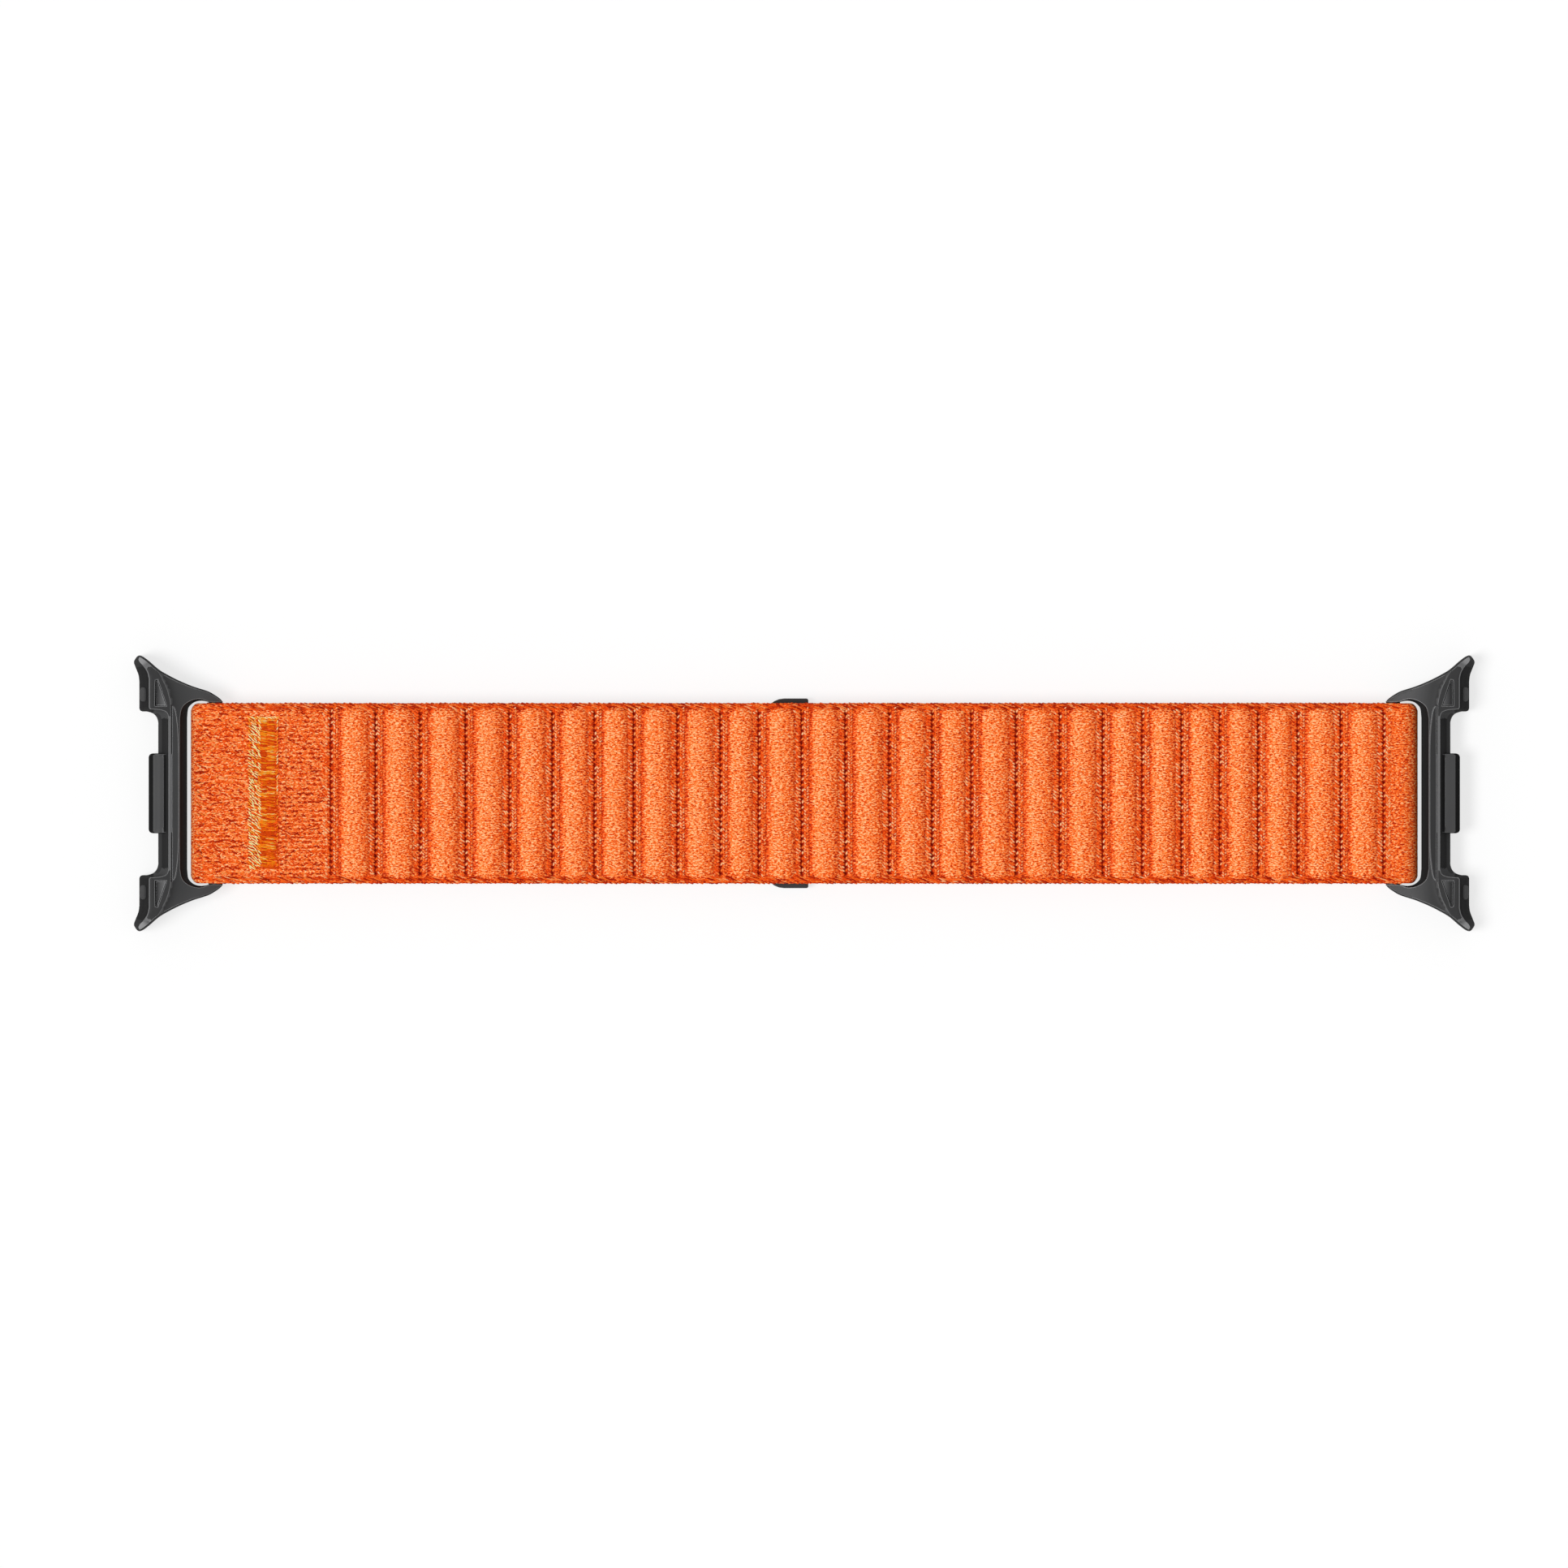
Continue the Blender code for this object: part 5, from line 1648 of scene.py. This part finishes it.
# Each ring of a damper: its share of the full outline, and how far it stands out of the wall.
BUMPER_ROWS = (
    (1.0, -0.2), (1.0, 0.08), (0.95, 0.17), (0.84, 0.23), (0.6, 0.25), (0.3, 0.25), (0.0, 0.25),
)
BUMPER_POINTS = 36
SEAT_LOW = np.array((9.41, 2.0))
SEAT_HIGH = np.array((8.20, 5.02))
BAR_RADIUS = 0.875
BAR_HALF = 11.33
BAR_CHAMFER = 0.1
BAR_POINTS = 32


def make_bumper(name, bar, direction, side):
    """A pillow with a rounded square outline, lying on the steep wall."""
    along = (SEAT_HIGH - SEAT_LOW) / np.linalg.norm(SEAT_HIGH - SEAT_LOW)
    out = np.array((along[1], -along[0]))
    points = []
    for share, proud in BUMPER_ROWS:
        for turn in np.linspace(0, math.tau, BUMPER_POINTS, endpoint=False):
            square = share * (abs(math.cos(turn)) ** 4 + abs(math.sin(turn)) ** 4) ** -0.25
            up = along * (BUMPER_HALF_LENGTH * square * math.sin(turn))
            reach, height = (SEAT_LOW + SEAT_HIGH) / 2 + out * proud + up
            place = side * (BUMPER_SIDE + BUMPER_HALF_WIDTH * square * math.cos(turn))
            points.append((bar / MM - direction * reach, place, height))
    faces = tube_faces(len(BUMPER_ROWS), BUMPER_POINTS)
    return finish_metal(name, new_mesh(name, np.array(points) * MM, faces), rubber_material)


def make_cross_bar(name, bar):
    """A round pin with chamfered ends."""
    points = []
    inner = BAR_HALF - BAR_CHAMFER
    thin = BAR_RADIUS - BAR_CHAMFER
    for side, radius in ((-BAR_HALF, thin), (-inner, BAR_RADIUS), (inner, BAR_RADIUS), (BAR_HALF, thin)):
        for turn in np.linspace(0, math.tau, BAR_POINTS, endpoint=False):
            x = bar + radius * MM * math.cos(turn)
            points.append((x, side * MM, FOLD_MID + radius * MM * math.sin(turn)))
    return finish_metal(name, new_mesh(name, points, tube_faces(4, BAR_POINTS)), adapter_metal)


# %% Both adapters
CASTING_GRID = 0.28
for end_name, bar, direction in (("left", LEFT_BAR, 1), ("right", RIGHT_BAR, -1)):
    body = f"{end_name}_adapter"
    casting = cast(f"{end_name}_casting", adapter_walls(), adapter_lines(), top_of_adapter,
                   base_of_adapter, CASTING_GRID, adapter_metal, bar, direction)
    finish_faces(casting, bar, direction)
    cross_bar = make_cross_bar(f"{end_name}_cross_bar", bar)
    ride_on([casting, cross_bar], body, f"{end_name}_adapter_frame")
    plate = make_latch(f"{end_name}_latch_plate", bar, direction)
    ride_on([plate], body, f"{end_name}_latch")
    for side_name, side in (("upper", 1), ("lower", -1)):
        pillow = make_bumper(f"{end_name}_{side_name}_damper", bar, direction, side)
        ride_on([pillow], body, f"{end_name}_bumper_{side_name}")
    print(end_name, "adapter:", len(casting.data.polygons), "faces, latch", len(plate.data.polygons))

# %% [markdown]
# ## The hook
#
# The hook is a flat stamped frame with a raised tongue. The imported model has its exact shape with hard
# edges, so a copy of it is merged and its edges are rounded, which is what a stamped and blasted
# part has.

# %% The hook with rounded edges
HOOK_ROUNDING = 0.13 * MM
HARD_ANGLE = math.radians(35)


def rounded_copy(node, name, width, material):
    """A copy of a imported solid, with its flat faces merged and its hard edges rounded."""
    body = bmesh.new()
    body.from_mesh(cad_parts[node].data)
    bmesh.ops.remove_doubles(body, verts=body.verts, dist=0.001 * MM)
    bmesh.ops.dissolve_limit(body, angle_limit=math.radians(1), verts=body.verts, edges=body.edges)
    inner = [edge for edge in body.edges if edge.is_manifold]
    hard = [edge for edge in inner if edge.calc_face_angle() > HARD_ANGLE]
    bmesh.ops.bevel(body, geom=hard, offset=width, segments=3, profile=0.5, affect="EDGES",
                    clamp_overlap=True)
    bmesh.ops.triangulate(body, faces=[face for face in body.faces if len(face.verts) > 4])
    mesh = bpy.data.meshes.new(name)
    body.to_mesh(mesh)
    body.free()
    return finish_metal(name, mesh, material)


hook_plate = rounded_copy("hook", "hook_plate", HOOK_ROUNDING, hook_metal)
ride_on([hook_plate], "hook", "hook")
print("hook faces:", len(hook_plate.data.polygons))

# %% [markdown]
# ## The studio
#
# The strap lies on a white floor and is seen from straight above through a long lens. A wide soft
# light from the left models the pads, and a white world fills the rest.

# %% The white floor and the world
WHITE = (1.0, 1.0, 1.0, 1.0)
FLOOR_GLOW = 0.72
FLOOR_HALF = 3.0
FLOOR_LEVEL = -0.03 * MM
WORLD_LEVEL = 0.45


def camera_sees(tree):
    """1 for the rays that the camera, a gloss or a glass sends out, and 0 for the light's others."""
    seen = add_node(tree, "ShaderNodeLightPath")
    direct = calc("MAXIMUM", seen["Is Camera Ray"], seen["Is Glossy Ray"])
    return calc("MAXIMUM", direct, seen["Is Transmission Ray"])


def make_floor():
    """A matte floor that glows white to the camera, and still takes soft shadows."""
    material, tree, shader = new_material("white_floor")
    feed_all(shader, {"Base Color": WHITE, "Roughness": 0.9})
    matte = terms_of(tree, tree.nodes["Principled BSDF"].outputs)[0]
    glow = add_node(tree, "ShaderNodeEmission", {"Color": WHITE, "Strength": 1.0})[0]
    shares = {0: camera_sees(tree) * FLOOR_GLOW, 1: matte, 2: glow}
    surface = add_node(tree, "ShaderNodeMixShader", shares)[0]
    feed(tree.nodes["Material Output"].inputs["Surface"], surface)
    corners = [(x * FLOOR_HALF, y * FLOOR_HALF, FLOOR_LEVEL)
               for x, y in ((-1, -1), (1, -1), (1, 1), (-1, 1))]
    mesh = new_mesh("floor", corners, [(0, 1, 2, 3)])
    mesh.materials.append(material)
    new_object("floor", mesh)


def make_world():
    """White to the camera, and dimmer where it lights the strap."""
    world = bpy.data.worlds.new("white_studio")
    bpy.context.scene.world = world
    world.use_nodes = True
    tree = world.node_tree
    strength = camera_sees(tree) * (1.0 - WORLD_LEVEL) + WORLD_LEVEL
    feed_all(tree.nodes["Background"].inputs, {"Color": WHITE, "Strength": strength})


make_floor()
make_world()
print("world:", bpy.context.scene.world.name)

# %% The key light and the camera
KEY_LEVEL = 2.05
KEY_DIRECTION = Vector((-0.46, -0.10, 0.88))
key = bpy.data.lights.new("key", "SUN")
key.energy = KEY_LEVEL
key.angle = math.radians(22)
new_object("key", key).rotation_euler = KEY_DIRECTION.to_track_quat("Z", "Y").to_euler()

PHOTO_SIZE = 1932
PIXELS_PER_MM = 10.0
CAMERA_HEIGHT = 3.0
SUBJECT_HEIGHT = 5.0 * MM
SENSOR = 36.0
camera = bpy.data.cameras.new("camera")
camera.sensor_width = SENSOR
view_width = PHOTO_SIZE / PIXELS_PER_MM * MM
camera.lens = SENSOR * CAMERA_HEIGHT / view_width
camera_object = new_object("camera", camera)
camera_object.location = (-2.5 * MM, 1.15 * MM, CAMERA_HEIGHT + SUBJECT_HEIGHT)
bpy.context.scene.camera = camera_object
bpy.context.scene.view_settings.view_transform = "Standard"
print("lens, mm:", round(camera.lens, 1))
